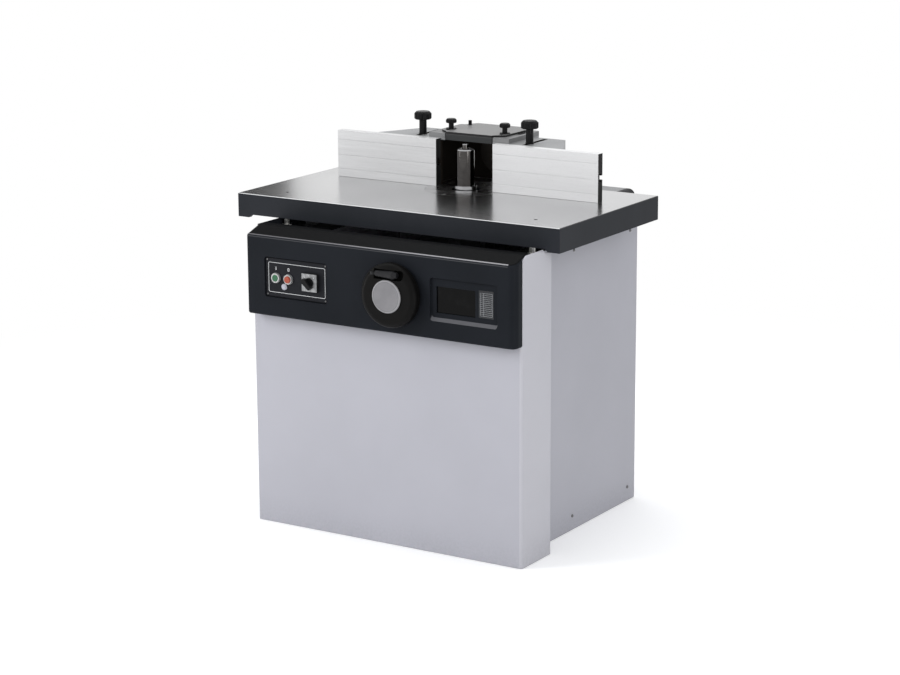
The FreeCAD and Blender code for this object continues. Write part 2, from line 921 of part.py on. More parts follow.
def make_base_frame():
    block = box(
        "base_block", ("inside_left", "inside_right"), ("inside_front", "inside_back"), ("0", "base_height")
    )
    hollow = box(
        "base_hollow",
        ("inside_left + base_wall", "inside_right - base_wall"),
        ("inside_front + base_wall", "inside_back - base_wall"),
        ("base_floor", "base_height"),
    )
    across = ("inside_left + base_flange", "inside_right - base_flange")
    tie_low, tie_high = centred("0", "base_tie_width")
    front_gap = box("base_front_gap", across, ("inside_front + base_flange", tie_low), ("0", "base_floor"))
    back_gap = box("base_back_gap", across, (tie_high, "inside_back - base_flange"), ("0", "base_floor"))
    anchors = []
    for x in ("inside_left + anchor_inset", "inside_right - anchor_inset"):
        for y in ("inside_front + anchor_inset", "inside_back - anchor_inset"):
            name = f"anchor_hole_{len(anchors)}"
            anchors.append(rod(name, "anchor_radius", "Z", (x, y), ("0", "base_floor")))
    keep(cut("base_frame_solid", block, [hollow, front_gap, back_gap] + anchors), "base_frame")


def make_panels():
    front = box(
        "front_sheet",
        ("-cabinet_left", "column_right - column_bend"),
        ("-cabinet_front", "inside_front"),
        ("0", "front_panel_top"),
    )
    lip = box(
        "front_lip",
        ("inside_left", "inside_right"),
        ("inside_front", "inside_front + front_panel_lip"),
        ("front_panel_top - sheet_wall", "front_panel_top"),
    )
    keep(fuse("front_bent", [front, lip]), "front_panel")
    depth = ("inside_front", "inside_back")
    right = box("right_sheet", ("inside_right", "cabinet_right"), depth, ("0", "cabinet_top"))
    keep(right, "right_side_panel")
    left = box("left_sheet", ("-cabinet_left", "inside_left"), depth, ("0", "cabinet_top"))
    keep(left, "left_side_panel")
    wall = ("inside_back", "cabinet_back")
    rear = box("rear_sheet", ("-cabinet_left", "cabinet_right"), wall, ("0", "cabinet_top"))
    doorway = box(
        "doorway",
        ("door_overlap - door_left", "door_right - door_overlap"),
        wall,
        ("door_bottom + door_overlap", "door_top - door_overlap"),
    )
    outlet = rod("outlet_hole", "outlet_radius - outlet_wall", "Y", ("outlet_side", "outlet_height"), wall)
    keep(cut("rear_sheet_open", rear, [doorway, outlet]), "rear_panel")


def make_right_column():
    step = "column_step - skirt_relief"
    blank = prism(
        "column_blank",
        "YZ_Plane",
        (
            ("-cabinet_front", "0"),
            ("column_back", "0"),
            ("column_back", "column_shoulder"),
            ("column_step", "column_shoulder"),
            (step, "column_top"),
            ("-cabinet_front", "column_top"),
        ),
        ("cabinet_right", "column_right"),
    )

    def top_corner(edge):
        return runs_along(edge, X_AXIS) and near(edge.CenterOfMass, y="-cabinet_front", z="column_top")

    def front_bend(edge):
        return runs_along(edge, Z_AXIS) and near(edge.CenterOfMass, x="column_right", y="-cabinet_front")

    round_edges(blank, "column_corner", top_corner)
    round_edges(blank, "column_bend", front_bend)
    hollow = prism(
        "column_hollow",
        "YZ_Plane",
        (
            ("inside_front", "0"),
            ("column_back - sheet_wall", "0"),
            ("column_back - sheet_wall", "cabinet_top - sheet_wall"),
            ("column_step", "cabinet_top - sheet_wall"),
            ("column_step", "column_top"),
            ("inside_front", "column_top"),
        ),
        ("cabinet_right", "column_right - sheet_wall"),
    )
    front = box(
        "column_front",
        ("cabinet_right", "column_right - column_bend"),
        ("-cabinet_front", "inside_front"),
        ("0", "front_panel_top"),
    )
    seat = box(
        "column_seat",
        ("cabinet_right", "column_right - sheet_wall"),
        ("column_step", "column_back"),
        ("cabinet_top", "column_shoulder"),
    )
    keep(cut("column_sheet", blank, [hollow, front, seat]), "right_column")


def make_top_frame():
    height = ("top_frame_bottom", "cabinet_top")
    block = box("top_block", ("inside_left", "inside_right"), ("-top_frame_front", "inside_back"), height)
    hollow = box(
        "top_hollow",
        ("inside_left + top_frame_bar", "inside_right - top_frame_bar"),
        ("top_frame_bar - top_frame_front", "inside_back - top_frame_bar"),
        height,
    )
    keep(cut("top_frame_solid", block, [hollow]), "top_frame")


def make_door():
    height = ("door_bottom", "door_top")
    block = box("door_block", ("-door_left", "door_right"), ("door_face", "door_outer"), height)
    hollow = box(
        "door_hollow",
        ("sheet_wall - door_left", "door_right - sheet_wall"),
        ("door_face", "door_outer - sheet_wall"),
        ("door_bottom + sheet_wall", "door_top - sheet_wall"),
    )
    tray = cut("door_tray", block, [hollow])
    knuckles = []
    bores = []
    hinges = []
    axis = ("hinge_x", "hinge_y")
    for low in ("hinge_low", "hinge_high"):
        middle = f"{low} + hinge_height"
        high = f"{middle} + hinge_height"
        upper = (f"{middle} + slide_gap", high)
        knuckles.append(rod(f"door_knuckle_{low}", "hinge_radius", "Z", axis, upper))
        knuckles.append(
            box(
                f"door_ear_{low}",
                ("hinge_x", "sheet_wall - door_left"),
                ("hinge_y + hinge_pin_radius", "hinge_y + hinge_radius"),
                upper,
            )
        )
        bores.append(rod(f"door_bore_{low}", "hinge_pin_radius + running_gap", "Z", axis, upper))
        lower = (low, middle)
        fixed = rod(f"hinge_knuckle_{low}", "hinge_radius", "Z", axis, lower)
        pin = rod(f"hinge_pin_{low}", "hinge_pin_radius", "Z", axis, (middle, high))
        leaf = box(
            f"hinge_leaf_{low}",
            ("hinge_x - hinge_leaf", "hinge_x"),
            ("cabinet_back", "cabinet_back + sheet_wall"),
            lower,
        )
        hinges.append(fuse(f"hinge_{low}", [fixed, pin, leaf]))
    keep(cut("door_hung", fuse("door_with_knuckles", [tray] + knuckles), bores), "rear_door")
    keep(group("door_hinge_pair", hinges), "door_hinges")
    pull_x = "door_right - 2 * door_overlap"
    pull_z = "(door_bottom + door_top) / 2"
    tip = "door_outer + pull_reach"
    low, high = centred(pull_z, "pull_height")
    pull = prism(
        "pull_bow",
        "YZ_Plane",
        (
            ("door_outer", low),
            (tip, f"{low} + pull_bar"),
            (tip, f"{high} - pull_bar"),
            ("door_outer", high),
            ("door_outer", f"{high} - 2 * pull_bar"),
            (f"{tip} - pull_bar", f"{high} - 2 * pull_bar"),
            (f"{tip} - pull_bar", f"{low} + 2 * pull_bar"),
            ("door_outer", f"{low} + 2 * pull_bar"),
        ),
        centred(pull_x, "pull_bar"),
    )
    keep(pull, "door_pull")


def make_dust_outlet():
    axis = ("outlet_side", "outlet_height")
    flange = rod("outlet_plate", "outlet_flange", "Y", axis, ("cabinet_back", "cabinet_back + sheet_wall"))
    tube_span = ("cabinet_back", "cabinet_back + outlet_length")
    tube = rod("outlet_tube", "outlet_radius", "Y", axis, tube_span)
    bore = rod("outlet_bore", "outlet_radius - outlet_wall", "Y", axis, tube_span)
    keep(cut("outlet_spigot", fuse("outlet_blank", [flange, tube]), [bore]), "dust_outlet")


# Control panel

def make_control_panel():
    ends = ("-panel_left", "column_right")
    shell = prism(
        "panel_blank",
        "YZ_Plane",
        (
            ("-cabinet_front", "panel_bottom"),
            ("panel_front", "panel_bottom"),
            ("panel_front", "panel_bend"),
            ("panel_ridge", "panel_top"),
            ("panel_ridge + panel_wall", "panel_top"),
            ("panel_ridge + panel_wall", "panel_top - panel_cheek_height"),
            ("-cabinet_front", "panel_bend - panel_wall"),
        ),
        ends,
    )

    def right_upright(edge):
        return runs_along(edge, Z_AXIS) and near(edge.CenterOfMass, x="column_right", y="panel_front")

    def left_upright(edge):
        return runs_along(edge, Z_AXIS) and near(edge.CenterOfMass, x="-panel_left", y="panel_front")

    def bend(edge):
        return runs_along(edge, X_AXIS) and near(edge.CenterOfMass, y="panel_front", z="panel_bend")

    def foot(edge):
        return runs_along(edge, X_AXIS) and near(edge.CenterOfMass, y="panel_front", z="panel_bottom")

    def inner_upright(edge):
        return runs_along(edge, Z_AXIS) and near(edge.CenterOfMass, x=inner_right, y="panel_inside")

    round_edges(shell, "panel_right_corner", right_upright)
    round_edges(shell, "panel_corner", left_upright)
    round_edges(shell, "panel_bend_corner", bend)
    round_edges(shell, "panel_foot_corner", foot)
    inner_right = "column_right - panel_wall"
    hollow = prism(
        "panel_hollow",
        "YZ_Plane",
        (
            ("panel_inside", "panel_bottom + panel_wall"),
            ("panel_inside", "panel_bend - panel_wall"),
            ("panel_ridge", "panel_top - panel_wall"),
            ("panel_ridge + 2 * panel_wall", "panel_top - panel_wall"),
            ("panel_ridge + 2 * panel_wall", "panel_bottom + panel_wall"),
        ),
        ("panel_wall - panel_left", inner_right),
    )
    round_edges(hollow, "panel_right_corner - panel_wall", inner_upright)
    top_sheet = box(
        "panel_top_sheet",
        ("-panel_left", inner_right),
        ("panel_ridge", "panel_ridge + panel_top_depth"),
        ("panel_top - panel_wall", "panel_top"),
    )
    beside_column = box(
        "panel_beside_column",
        (inner_right, "column_right"),
        ("-cabinet_front", "panel_ridge + 2 * panel_wall"),
        ("panel_bottom", "panel_top"),
    )
    cheek = prism(
        "panel_cheek",
        "YZ_Plane",
        (
            ("panel_ridge", "panel_top"),
            ("panel_cheek_back", "panel_top"),
            ("panel_cheek_back", "panel_top - panel_cheek_height"),
            ("panel_ridge", "panel_top - panel_cheek_height"),
        ),
        ("-panel_left", "panel_wall - panel_left"),
    )
    trays = []
    pockets = []
    rim = "2 * panel_wall"

    def runs_inward(edge):
        return abs(edge.tangentAt(edge.FirstParameter).y) > 0.5

    for side in ("left", "right"):
        middle = f"recess_{side}_x"
        across = centred(middle, "recess_width")
        low, high = centred("recess_z", "recess_height")
        trays.append(
            box(
                f"recess_tray_{side}",
                centred(middle, f"recess_width + {rim}"),
                ("panel_inside - seat_gap", "recess_back"),
                centred("recess_z", f"recess_height + {rim}"),
            )
        )
        sill = low if side == "left" else f"{low} - recess_sill / 2"
        floor_low = low if side == "left" else f"{low} + recess_sill / 2"
        pocket = prism(
            f"recess_pocket_{side}",
            "YZ_Plane",
            (("panel_front", sill), ("panel_front", high), ("recess_floor", high), ("recess_floor", floor_low)),
            across,
        )
        pockets.append(round_edges(pocket, "recess_corner", runs_inward))
    through = ("recess_floor", "recess_back")
    window = box("window_hole", ("window_left", "window_right"), through, ("window_bottom", "window_top"))
    holes = [window]
    for name, radius, x, z in panel_fittings():
        holes.append(rod(f"panel_hole_{name}", f"{radius} + seat_gap", "Y", (x, z), through))
    wall = ("panel_front", "panel_inside")
    holes.append(rod("panel_hole_bush", "bush_radius + seat_gap", "Y", ("wheel_x", "wheel_z"), wall))
    thin = cut("panel_shell", shell, [hollow, beside_column])
    joined = fuse("panel_with_trays", [thin, cheek, top_sheet] + trays)
    keep(cut("panel_housing", joined, pockets + holes), "control_panel")
    pane = box(
        "pane_sheet",
        ("window_left - pane_margin", "window_right + pane_margin"),
        ("recess_back", "recess_back + pane_wall"),
        ("window_bottom - pane_margin", "window_top + pane_margin"),
    )
    keep(pane, "window_pane")


def panel_fittings():
    """What passes through the control plate: a name, the neck's radius and its place."""
    return (
        ("start", "bezel_neck", "start_x", "button_z"),
        ("stop", "bezel_neck", "stop_x", "button_z"),
        ("lamp", "lamp_neck", "lamp_x", "lamp_z"),
        ("switch", "switch_shaft", "switch_x", "button_z"),
    )


def make_control_plate():
    thickness = ("plate_face", "recess_floor")
    blank = box(
        "plate_blank",
        centred("recess_left_x", "recess_width - 2 * plate_margin"),
        thickness,
        centred("recess_z", "recess_height - 2 * plate_margin"),
    )
    holes = []
    for name, radius, x, z in panel_fittings():
        holes.append(rod(f"plate_hole_{name}", f"{radius} + seat_gap", "Y", (x, z), thickness))
    keep(cut("plate_drilled", blank, holes), "control_plate")
    box_back = "button_back + switch_box_depth"
    contacts = box(
        "contact_box",
        centred("recess_left_x", "recess_width - 2 * plate_margin"),
        ("button_back", box_back),
        centred("recess_z", "recess_height - 2 * plate_margin"),
    )
    keep(contacts, "switch_box")


def make_buttons():
    bezels = []
    for name in ("start", "stop"):
        axis = (f"{name}_x", "button_z")
        collar = taper(
            f"bezel_collar_{name}",
            ("bezel_radius - plate_wall / 2", "bezel_radius"),
            "Y",
            axis,
            ("bezel_face", "plate_face"),
        )
        neck = rod(f"bezel_neck_{name}", "bezel_neck", "Y", axis, ("plate_face", "button_back"))
        bore = rod(f"bezel_bore_{name}", "button_radius + running_gap", "Y", axis, ("bezel_face", "button_back"))
        bezels.append(cut(f"bezel_{name}", fuse(f"bezel_blank_{name}", [collar, neck]), [bore]))
        front = f"bezel_face - {name}_proud"
        rear = "button_back - button_travel - slide_gap"
        plunger = turning(
            f"{name}_plunger",
            "Y",
            axis,
            (
                ("0", front),
                ("button_radius - plate_wall / 2", front),
                ("button_radius", f"{front} + plate_wall / 2"),
                ("button_radius", rear),
                ("0", rear),
            ),
        )
        keep(plunger, f"{name}_button")
    keep(group("bezel_pair", bezels), "button_bezels")
    lamp_front = "plate_face - lamp_height"
    lamp = turning(
        "lamp_lens",
        "Y",
        ("lamp_x", "lamp_z"),
        (
            ("0", lamp_front),
            ("lamp_radius * 0.6", lamp_front),
            ("lamp_radius", "plate_face - lamp_height / 2"),
            ("lamp_radius", "plate_face"),
            ("lamp_neck", "plate_face"),
            ("lamp_neck", "button_back"),
            ("0", "button_back"),
        ),
    )
    keep(lamp, "signal_lamp")


def make_rotary_switch():
    axis = ("switch_x", "button_z")
    square = box(
        "switch_square",
        centred("switch_x", "switch_side"),
        ("switch_face", "plate_face"),
        centred("button_z", "switch_side"),
    )
    hole = rod("switch_square_hole", "switch_shaft + running_gap", "Y", axis, ("switch_face", "plate_face"))
    keep(cut("switch_escutcheon", square, [hole]), "switch_plate")
    disc_back = "switch_face - slide_gap"
    disc_front = f"{disc_back} - switch_disc_height"
    shaft = rod("switch_stem", "switch_shaft", "Y", axis, (disc_front, "button_back - slide_gap"))
    disc = rod("switch_dial", "switch_disc", "Y", axis, (disc_front, disc_back))
    half_length = "switch_grip_length / 2"
    half_width = "switch_grip_width / 2"
    grip = prism(
        "switch_grip",
        "XZ_Plane",
        (
            (f"-1 * {half_length}", "0"),
            (f"-1 * {half_length} + {half_width}", half_width),
            (half_length, f"{half_width} * 0.7"),
            (half_length, f"-1 * {half_width} * 0.7"),
            (f"-1 * {half_length} + {half_width}", f"-1 * {half_width}"),
        ),
        (f"{disc_front} - switch_grip_height", disc_front),
    )
    grip.Placement = FreeCAD.Placement(FreeCAD.Vector(), FreeCAD.Rotation(Y_AXIS, value("switch_grip_turn")))
    place(grip, "switch_x", "0", "button_z")
    keep(fuse("switch_pointer", [shaft, disc, grip]), "switch_knob")


# Handwheel and lift drive

def make_handwheel():
    axis = ("wheel_x", "wheel_z")
    web_back = "wheel_face + wheel_web"
    blank = turning(
        "wheel_blank",
        "Y",
        axis,
        (
            ("shaft_radius", "wheel_back"),
            ("wheel_hub", "wheel_back"),
            ("wheel_hub", web_back),
            ("wheel_radius - wheel_rim", web_back),
            ("wheel_radius - wheel_rim", "wheel_back"),
            ("wheel_radius - wheel_bevel / 2", "wheel_back"),
            ("wheel_radius", "wheel_back - wheel_bevel / 2"),
            ("wheel_radius", "wheel_face"),
            ("shaft_radius", "wheel_face"),
        ),
    )

    def front_rim(edge):
        if edge.Curve.TypeId != "Part::GeomCircle" or not near(edge.CenterOfMass, y="wheel_face"):
            return False
        return edge.Curve.Radius > value("wheel_cap_radius")

    round_edges(blank, "wheel_shoulder", front_rim)
    room = "handle_large_radius + handle_room"
    swing = "sqrt(handle_grip_start * handle_grip_start - handle_sink * handle_sink)"
    grip_low = f"handle_x + {swing} - handle_room"
    grip_high = "handle_x + handle_grip_start + handle_grip_length + handle_room"
    pocket = box(
        "wheel_pocket",
        (grip_low, grip_high),
        ("wheel_face", "pocket_floor"),
        (f"handle_z - ({room})", f"handle_z + ({room})"),
    )
    finger_hole = rod(
        "wheel_finger_hole",
        room,
        "Y",
        (f"{grip_high} + handle_finger_reach", "handle_z"),
        ("wheel_face", "pocket_floor"),
    )
    slot = box(
        "wheel_fork_slot",
        ("handle_x - handle_eye_radius - handle_room", grip_low),
        ("wheel_face", "pocket_floor"),
        centred("handle_z", "handle_tongue + 2 * slide_gap"),
    )
    pin_span = ("handle_z - handle_pin_low", "handle_z + handle_pin_high")
    pin_axis = ("handle_x", "handle_y")
    pin_hole = rod("wheel_pin_hole", "handle_pin_radius", "Z", pin_axis, pin_span)
    keep(cut("wheel_cut", blank, [pocket, finger_hole, slot, pin_hole]), "handwheel")
    keep(rod("wheel_pin", "handle_pin_radius", "Z", pin_axis, pin_span), "handle_pin")
    cap_front = "wheel_face - wheel_cap_height"
    cap = turning(
        "wheel_cap",
        "Y",
        axis,
        (
            ("0", cap_front),
            ("wheel_cap_radius - wheel_cap_height / 2", cap_front),
            ("wheel_cap_radius", "wheel_face - wheel_cap_height / 2"),
            ("wheel_cap_radius", "wheel_face"),
            ("0", "wheel_face"),
        ),
    )
    keep(cap, "handwheel_cap")
    shaft_end = "gearbox_y - gearbox_half + gearbox_seat"
    keep(rod("wheel_shaft", "shaft_radius", "Y", axis, ("wheel_face", shaft_end)), "handwheel_shaft")
    bush = turning(
        "wheel_bush",
        "Y",
        axis,
        (
            ("shaft_radius + running_gap", "panel_front"),
            ("bush_radius", "panel_front"),
            ("bush_radius", "panel_inside"),
            ("bush_flange", "panel_inside"),
            ("bush_flange", "panel_inside + bush_flange_height"),
            ("bush_radius", "panel_inside + bush_flange_height"),
            ("bush_radius", "panel_front + bush_length"),
            ("shaft_radius + running_gap", "panel_front + bush_length"),
        ),
    )
    keep(bush, "handwheel_bush")


def make_folding_handle():
    eye_span = centred("handle_z", "handle_tongue")
    eye = rod("handle_eye", "handle_eye_radius", "Z", ("handle_x", "handle_y"), eye_span)
    neck = box(
        "handle_neck",
        ("handle_x", "handle_x + handle_grip_start"),
        centred("handle_y", "handle_tongue"),
        eye_span,
    )
    start = "handle_x + handle_grip_start"
    end = f"{start} + handle_grip_length"
    axis = ("handle_y", "handle_z")
    swell = f"{end} - handle_large_radius"
    grip = taper("handle_grip", ("handle_small_radius", "handle_large_radius"), "X", axis, (start, swell))
    nose = taper("handle_nose", ("handle_large_radius", "handle_large_radius * 0.6"), "X", axis, (swell, end))
    joined = fuse("handle_solid", [eye, neck, grip, nose])
    bore = rod("handle_bore", "handle_pin_radius + running_gap", "Z", ("handle_x", "handle_y"), eye_span)
    keep(cut("handle_drilled", joined, [bore]), "folding_handle")


def make_lift_drive():
    across = centred("wheel_x", "gearbox_side")
    depth = centred("gearbox_y", "gearbox_side")
    block = box("gearbox_block", across, depth, ("gearbox_bottom", "gearbox_top"))

    def upright(edge):
        return runs_along(edge, Z_AXIS)

    rounded = soften("Part::Fillet", "gearbox_rounded", block, "gearbox_edge", upright)
    front = "gearbox_y - gearbox_half"
    shaft_axis = ("wheel_x", "wheel_z")
    screw_axis = ("wheel_x", "gearbox_y")
    cover_span = (f"{front} - gearbox_cover_height", front)
    cover = rod("gearbox_cover", "gearbox_cover_radius", "Y", shaft_axis, cover_span)
    shaft_span = (f"{front} - gearbox_cover_height", f"{front} + gearbox_seat + slide_gap")
    shaft_bore = rod("gearbox_shaft_bore", "shaft_radius + running_gap", "Y", shaft_axis, shaft_span)
    screw_span = ("gearbox_bottom", "gearbox_bottom + gearbox_seat")
    screw_bore = rod("gearbox_screw_bore", "shaft_radius + running_gap", "Z", screw_axis, screw_span)
    housing = fuse("gearbox_housing", [rounded, cover])
    keep(cut("gearbox_bored", housing, [shaft_bore, screw_bore]), "lift_gearbox")
    web_front = "gearbox_y - bracket_depth / 2"
    web_back = f"{web_front} + bracket_wall"
    rear = f"{web_front} + bracket_depth"
    bracket = prism(
        "bracket_channel",
        "YZ_Plane",
        (
            (web_front, "gearbox_top"),
            (rear, "gearbox_top"),
            (rear, "gearbox_top + bracket_wall"),
            (web_back, "gearbox_top + bracket_wall"),
            (web_back, "table_under - bracket_wall"),
            (f"{web_front} + bracket_flange", "table_under - bracket_wall"),
            (f"{web_front} + bracket_flange", "table_under"),
            (web_front, "table_under"),
        ),
        centred("wheel_x", "bracket_width"),
    )
    keep(bracket, "gearbox_bracket")
    screw = turning(
        "screw_turned",
        "Z",
        screw_axis,
        (
            ("0", "screw_bottom"),
            ("screw_radius - 2", "screw_bottom"),
            ("screw_radius", "screw_bottom + 2"),
            ("screw_radius", "screw_top"),
            ("shaft_radius", "screw_top"),
            ("shaft_radius", "gearbox_bottom + gearbox_seat - slide_gap"),
            ("0", "gearbox_bottom + gearbox_seat - slide_gap"),
        ),
    )
    keep(screw, "lift_screw")
    nut_top = "arm_top + nut_above_arm"
    nut = turning(
        "nut_turned",
        "Z",
        screw_axis,
        (
            ("screw_hole", "arm_bottom - nut_flange_height"),
            ("nut_flange", "arm_bottom - nut_flange_height"),
            ("nut_flange", "arm_bottom"),
            ("nut_radius", "arm_bottom"),
            ("nut_radius", nut_top),
            ("screw_hole", nut_top),
        ),
    )
    keep(nut, "lift_nut")


# Spindle unit

def make_guides():
    columns = []
    bores = []
    yoke_top = "column_guide_bottom + yoke_height"
    for side, sign in MIRROR.items():
        axis = (f"{sign}column_guide_x", "column_guide_y")
        column = rod(f"guide_{side}", "column_guide_radius", "Z", axis, ("column_guide_bottom", "table_under"))
        flange_span = ("table_under - column_flange_height", "table_under")
        flange = rod(f"guide_flange_{side}", "column_flange_radius", "Z", axis, flange_span)
        columns.append(fuse(f"guide_column_{side}", [column, flange]))
        bores.append(rod(f"yoke_bore_{side}", "column_guide_hole", "Z", axis, ("column_guide_bottom", yoke_top)))
    keep(group("guide_column_pair", columns), "guide_columns")
    bar = box(
        "yoke_bar",
        ("-column_guide_x - column_flange_radius", "column_guide_x + column_flange_radius"),
        centred("column_guide_y", "2 * yoke_margin"),
        ("column_guide_bottom", yoke_top),
    )
    keep(cut("yoke_bored", bar, bores), "column_yoke")


def make_carriage():
    quill = rod("quill_tube", "quill_radius", "Z", ("0", "0"), ("quill_bottom", "quill_top"))
    web = box(
        "guide_web",
        ("-column_guide_x", "column_guide_x"),
        ("quill_bore", "column_guide_y"),
        ("guide_web_bottom", "guide_web_top"),
    )
    pieces = [quill, web]
    bores = [rod("quill_hole", "quill_bore", "Z", ("0", "0"), ("quill_bottom", "quill_top"))]
    bush_span = ("guide_bush_bottom", "guide_bush_top")
    for side, sign in MIRROR.items():
        axis = (f"{sign}column_guide_x", "column_guide_y")
        pieces.append(rod(f"guide_bush_{side}", "guide_bush_radius", "Z", axis, bush_span))
        bore_span = ("motor_plate_top", "guide_bush_top")
        bores.append(rod(f"guide_bore_{side}", "column_guide_hole", "Z", axis, bore_span))
    reach = "sqrt(wheel_x * wheel_x + gearbox_y * gearbox_y)"
    side_x = f"arm_half_width * gearbox_y / {reach}"
    side_y = f"arm_half_width * wheel_x / {reach}"
    arm_span = ("arm_bottom", "arm_top")
    root = "quill_bore / quill_radius / 2"
    arm = prism(
        "lift_arm",
        "XY_Plane",
        (
            (f"wheel_x * {root} + {side_x}", f"gearbox_y * {root} - {side_y}"),
            (f"wheel_x + {side_x}", f"gearbox_y - {side_y}"),
            (f"wheel_x - {side_x}", f"gearbox_y + {side_y}"),
            (f"wheel_x * {root} - {side_x}", f"gearbox_y * {root} + {side_y}"),
        ),
        arm_span,
    )
    screw_axis = ("wheel_x", "gearbox_y")
    pieces.append(arm)
    pieces.append(rod("arm_boss", "arm_boss_radius", "Z", screw_axis, arm_span))
    bores.append(rod("arm_bore", "nut_radius", "Z", screw_axis, arm_span))
    pieces.append(
        prism(
            "motor_web",
            "XZ_Plane",
            (
                ("motor_web_left", "motor_plate_top"),
                ("motor_x + motor_flange_radius", "motor_plate_top"),
                ("-column_guide_x", "guide_bush_bottom"),
                ("-column_guide_x", "motor_web_top"),
                ("motor_x", "motor_web_top"),
                ("motor_web_left", "guide_bush_bottom"),
            ),
            ("motor_web_front", "motor_web_front + motor_web_wall"),
        )
    )
    keep(cut("carriage_bored", fuse("carriage_casting", pieces), bores), "spindle_carriage")
    bearings = []
    lower = "quill_bottom + bearing_inset"
    upper = "quill_top - bearing_inset - bearing_height"
    for name, low in (("lower", lower), ("upper", upper)):
        bearings.append(
            turning(
                f"bearing_{name}",
                "Z",
                ("0", "0"),
                (
                    ("arbor_journal + running_gap", low),
                    ("quill_bore", low),
                    ("quill_bore", f"{low} + bearing_height"),
                    ("arbor_journal + running_gap", f"{low} + bearing_height"),
                ),
            )
        )
    keep(group("bearing_pair", bearings), "spindle_bearings")


def make_motor():
    axis = ("motor_x", "motor_y")
    fan_top = "motor_bottom + motor_fan_length"
    flange_bottom = "motor_plate_bottom - motor_flange_height"
    stator = rod("motor_stator", "motor_radius", "Z", axis, (fan_top, flange_bottom))
    flange = rod("motor_flange", "motor_flange_radius", "Z", axis, (flange_bottom, "motor_plate_bottom"))
    cowl = turning(
        "motor_cowl",
        "Z",
        axis,
        (
            ("0", "motor_bottom"),
            ("motor_fan_radius - motor_fin", "motor_bottom"),
            ("motor_fan_radius", "motor_bottom + motor_fin"),
            ("motor_fan_radius", fan_top),
            ("0", fan_top),
        ),
    )
    fin = box(
        "motor_fin",
        ("motor_x + motor_radius - motor_fin_wall", "motor_x + motor_radius + motor_fin"),
        centred("motor_y", "motor_fin_wall"),
        (fan_top, flange_bottom),
    )
    fins = ring_of(fin, "motor_fin_copy", "motor_fin_count", axis)
    middle = f"({fan_top} + {flange_bottom}) / 2"
    terminal = box(
        "motor_terminal_box",
        centred("motor_x", "motor_box_width"),
        ("motor_y - motor_radius - motor_box_depth", "motor_y - motor_radius / 2"),
        centred(middle, "motor_box_height"),
    )
    bore_span = ("motor_plate_bottom - motor_shaft_depth", "motor_plate_bottom")
    bore = rod("motor_bore", "motor_shaft_radius + running_gap", "Z", axis, bore_span)
    keep(cut("motor_bored", fuse("motor_solid", [stator, flange, cowl, terminal] + fins), [bore]), "motor")
    thickness = ("motor_plate_bottom", "motor_plate_top")
    plate = box(
        "motor_plate_blank",
        centred("motor_x", "2 * motor_flange_radius"),
        ("motor_y - motor_flange_radius - motor_plate_margin", "motor_web_front + motor_web_wall"),
        thickness,
    )
    spigot = rod("motor_plate_hole", "motor_spigot", "Z", axis, thickness)
    keep(cut("motor_plate_bored", plate, [spigot]), "motor_plate")


def pulley_outline(bore, steps):
    """Half section of a stepped pulley, from its bottom step to its top one."""
    points = [(bore, "pulley_bottom")]
    for number, radius in enumerate(steps):
        low = f"pulley_bottom + {number} * pulley_step"
        middle = f"{low} + pulley_step / 2"
        floor = f"{radius} - pulley_groove_depth"
        points += [
            (radius, low),
            (radius, f"{middle} - pulley_groove_mouth / 2"),
            (floor, f"{middle} - pulley_groove_floor / 2"),
            (floor, f"{middle} + pulley_groove_floor / 2"),
            (radius, f"{middle} + pulley_groove_mouth / 2"),
            (radius, f"{low} + pulley_step"),
        ]
    points.append((bore, "pulley_top"))
    return points


def make_pulleys():
    spindle_steps = ("spindle_pulley_small", "spindle_pulley_middle", "spindle_pulley_large")
    motor_steps = ("motor_pulley_large", "motor_pulley_middle", "motor_pulley_small")
    outline = pulley_outline("arbor_pulley_seat", spindle_steps)
    keep(turning("spindle_pulley_turned", "Z", ("0", "0"), outline), "spindle_pulley")
    shaft_bottom = "motor_plate_bottom - motor_shaft_depth + slide_gap"
    shaft = [("0", shaft_bottom), ("motor_shaft_radius", shaft_bottom), ("motor_shaft_radius", "pulley_bottom")]
    outline = shaft + pulley_outline("motor_shaft_radius", motor_steps)[1:-1] + [("0", "pulley_top")]
    keep(turning("motor_pulley_turned", "Z", ("motor_x", "motor_y"), outline), "motor_pulley")


def belt_loop(spindle_radius, motor_radius, low, height):
    """The space inside a belt line drawn tight round both pulleys."""
    spindle = FreeCAD.Vector(0, 0, low)
    motor = FreeCAD.Vector(value("motor_x"), value("motor_y"), low)
    span = motor - spindle
    along = math.atan2(span.y, span.x)
    lean = math.acos((spindle_radius - motor_radius) / span.Length)

    def on_rim(centre, radius, angle):
        return centre + FreeCAD.Vector(radius * math.cos(angle), radius * math.sin(angle), 0)

    first = on_rim(spindle, spindle_radius, along + lean)
    back = on_rim(spindle, spindle_radius, along + math.pi)
    second = on_rim(spindle, spindle_radius, along - lean)
    third = on_rim(motor, motor_radius, along - lean)
    front = on_rim(motor, motor_radius, along)
    fourth = on_rim(motor, motor_radius, along + lean)
    edges = [
        Part.Arc(first, back, second).toShape(),
        Part.LineSegment(second, third).toShape(),
        Part.Arc(third, front, fourth).toShape(),
        Part.LineSegment(fourth, first).toShape(),
    ]
    return Part.Face(Part.Wire(edges)).extrude(FreeCAD.Vector(0, 0, height))


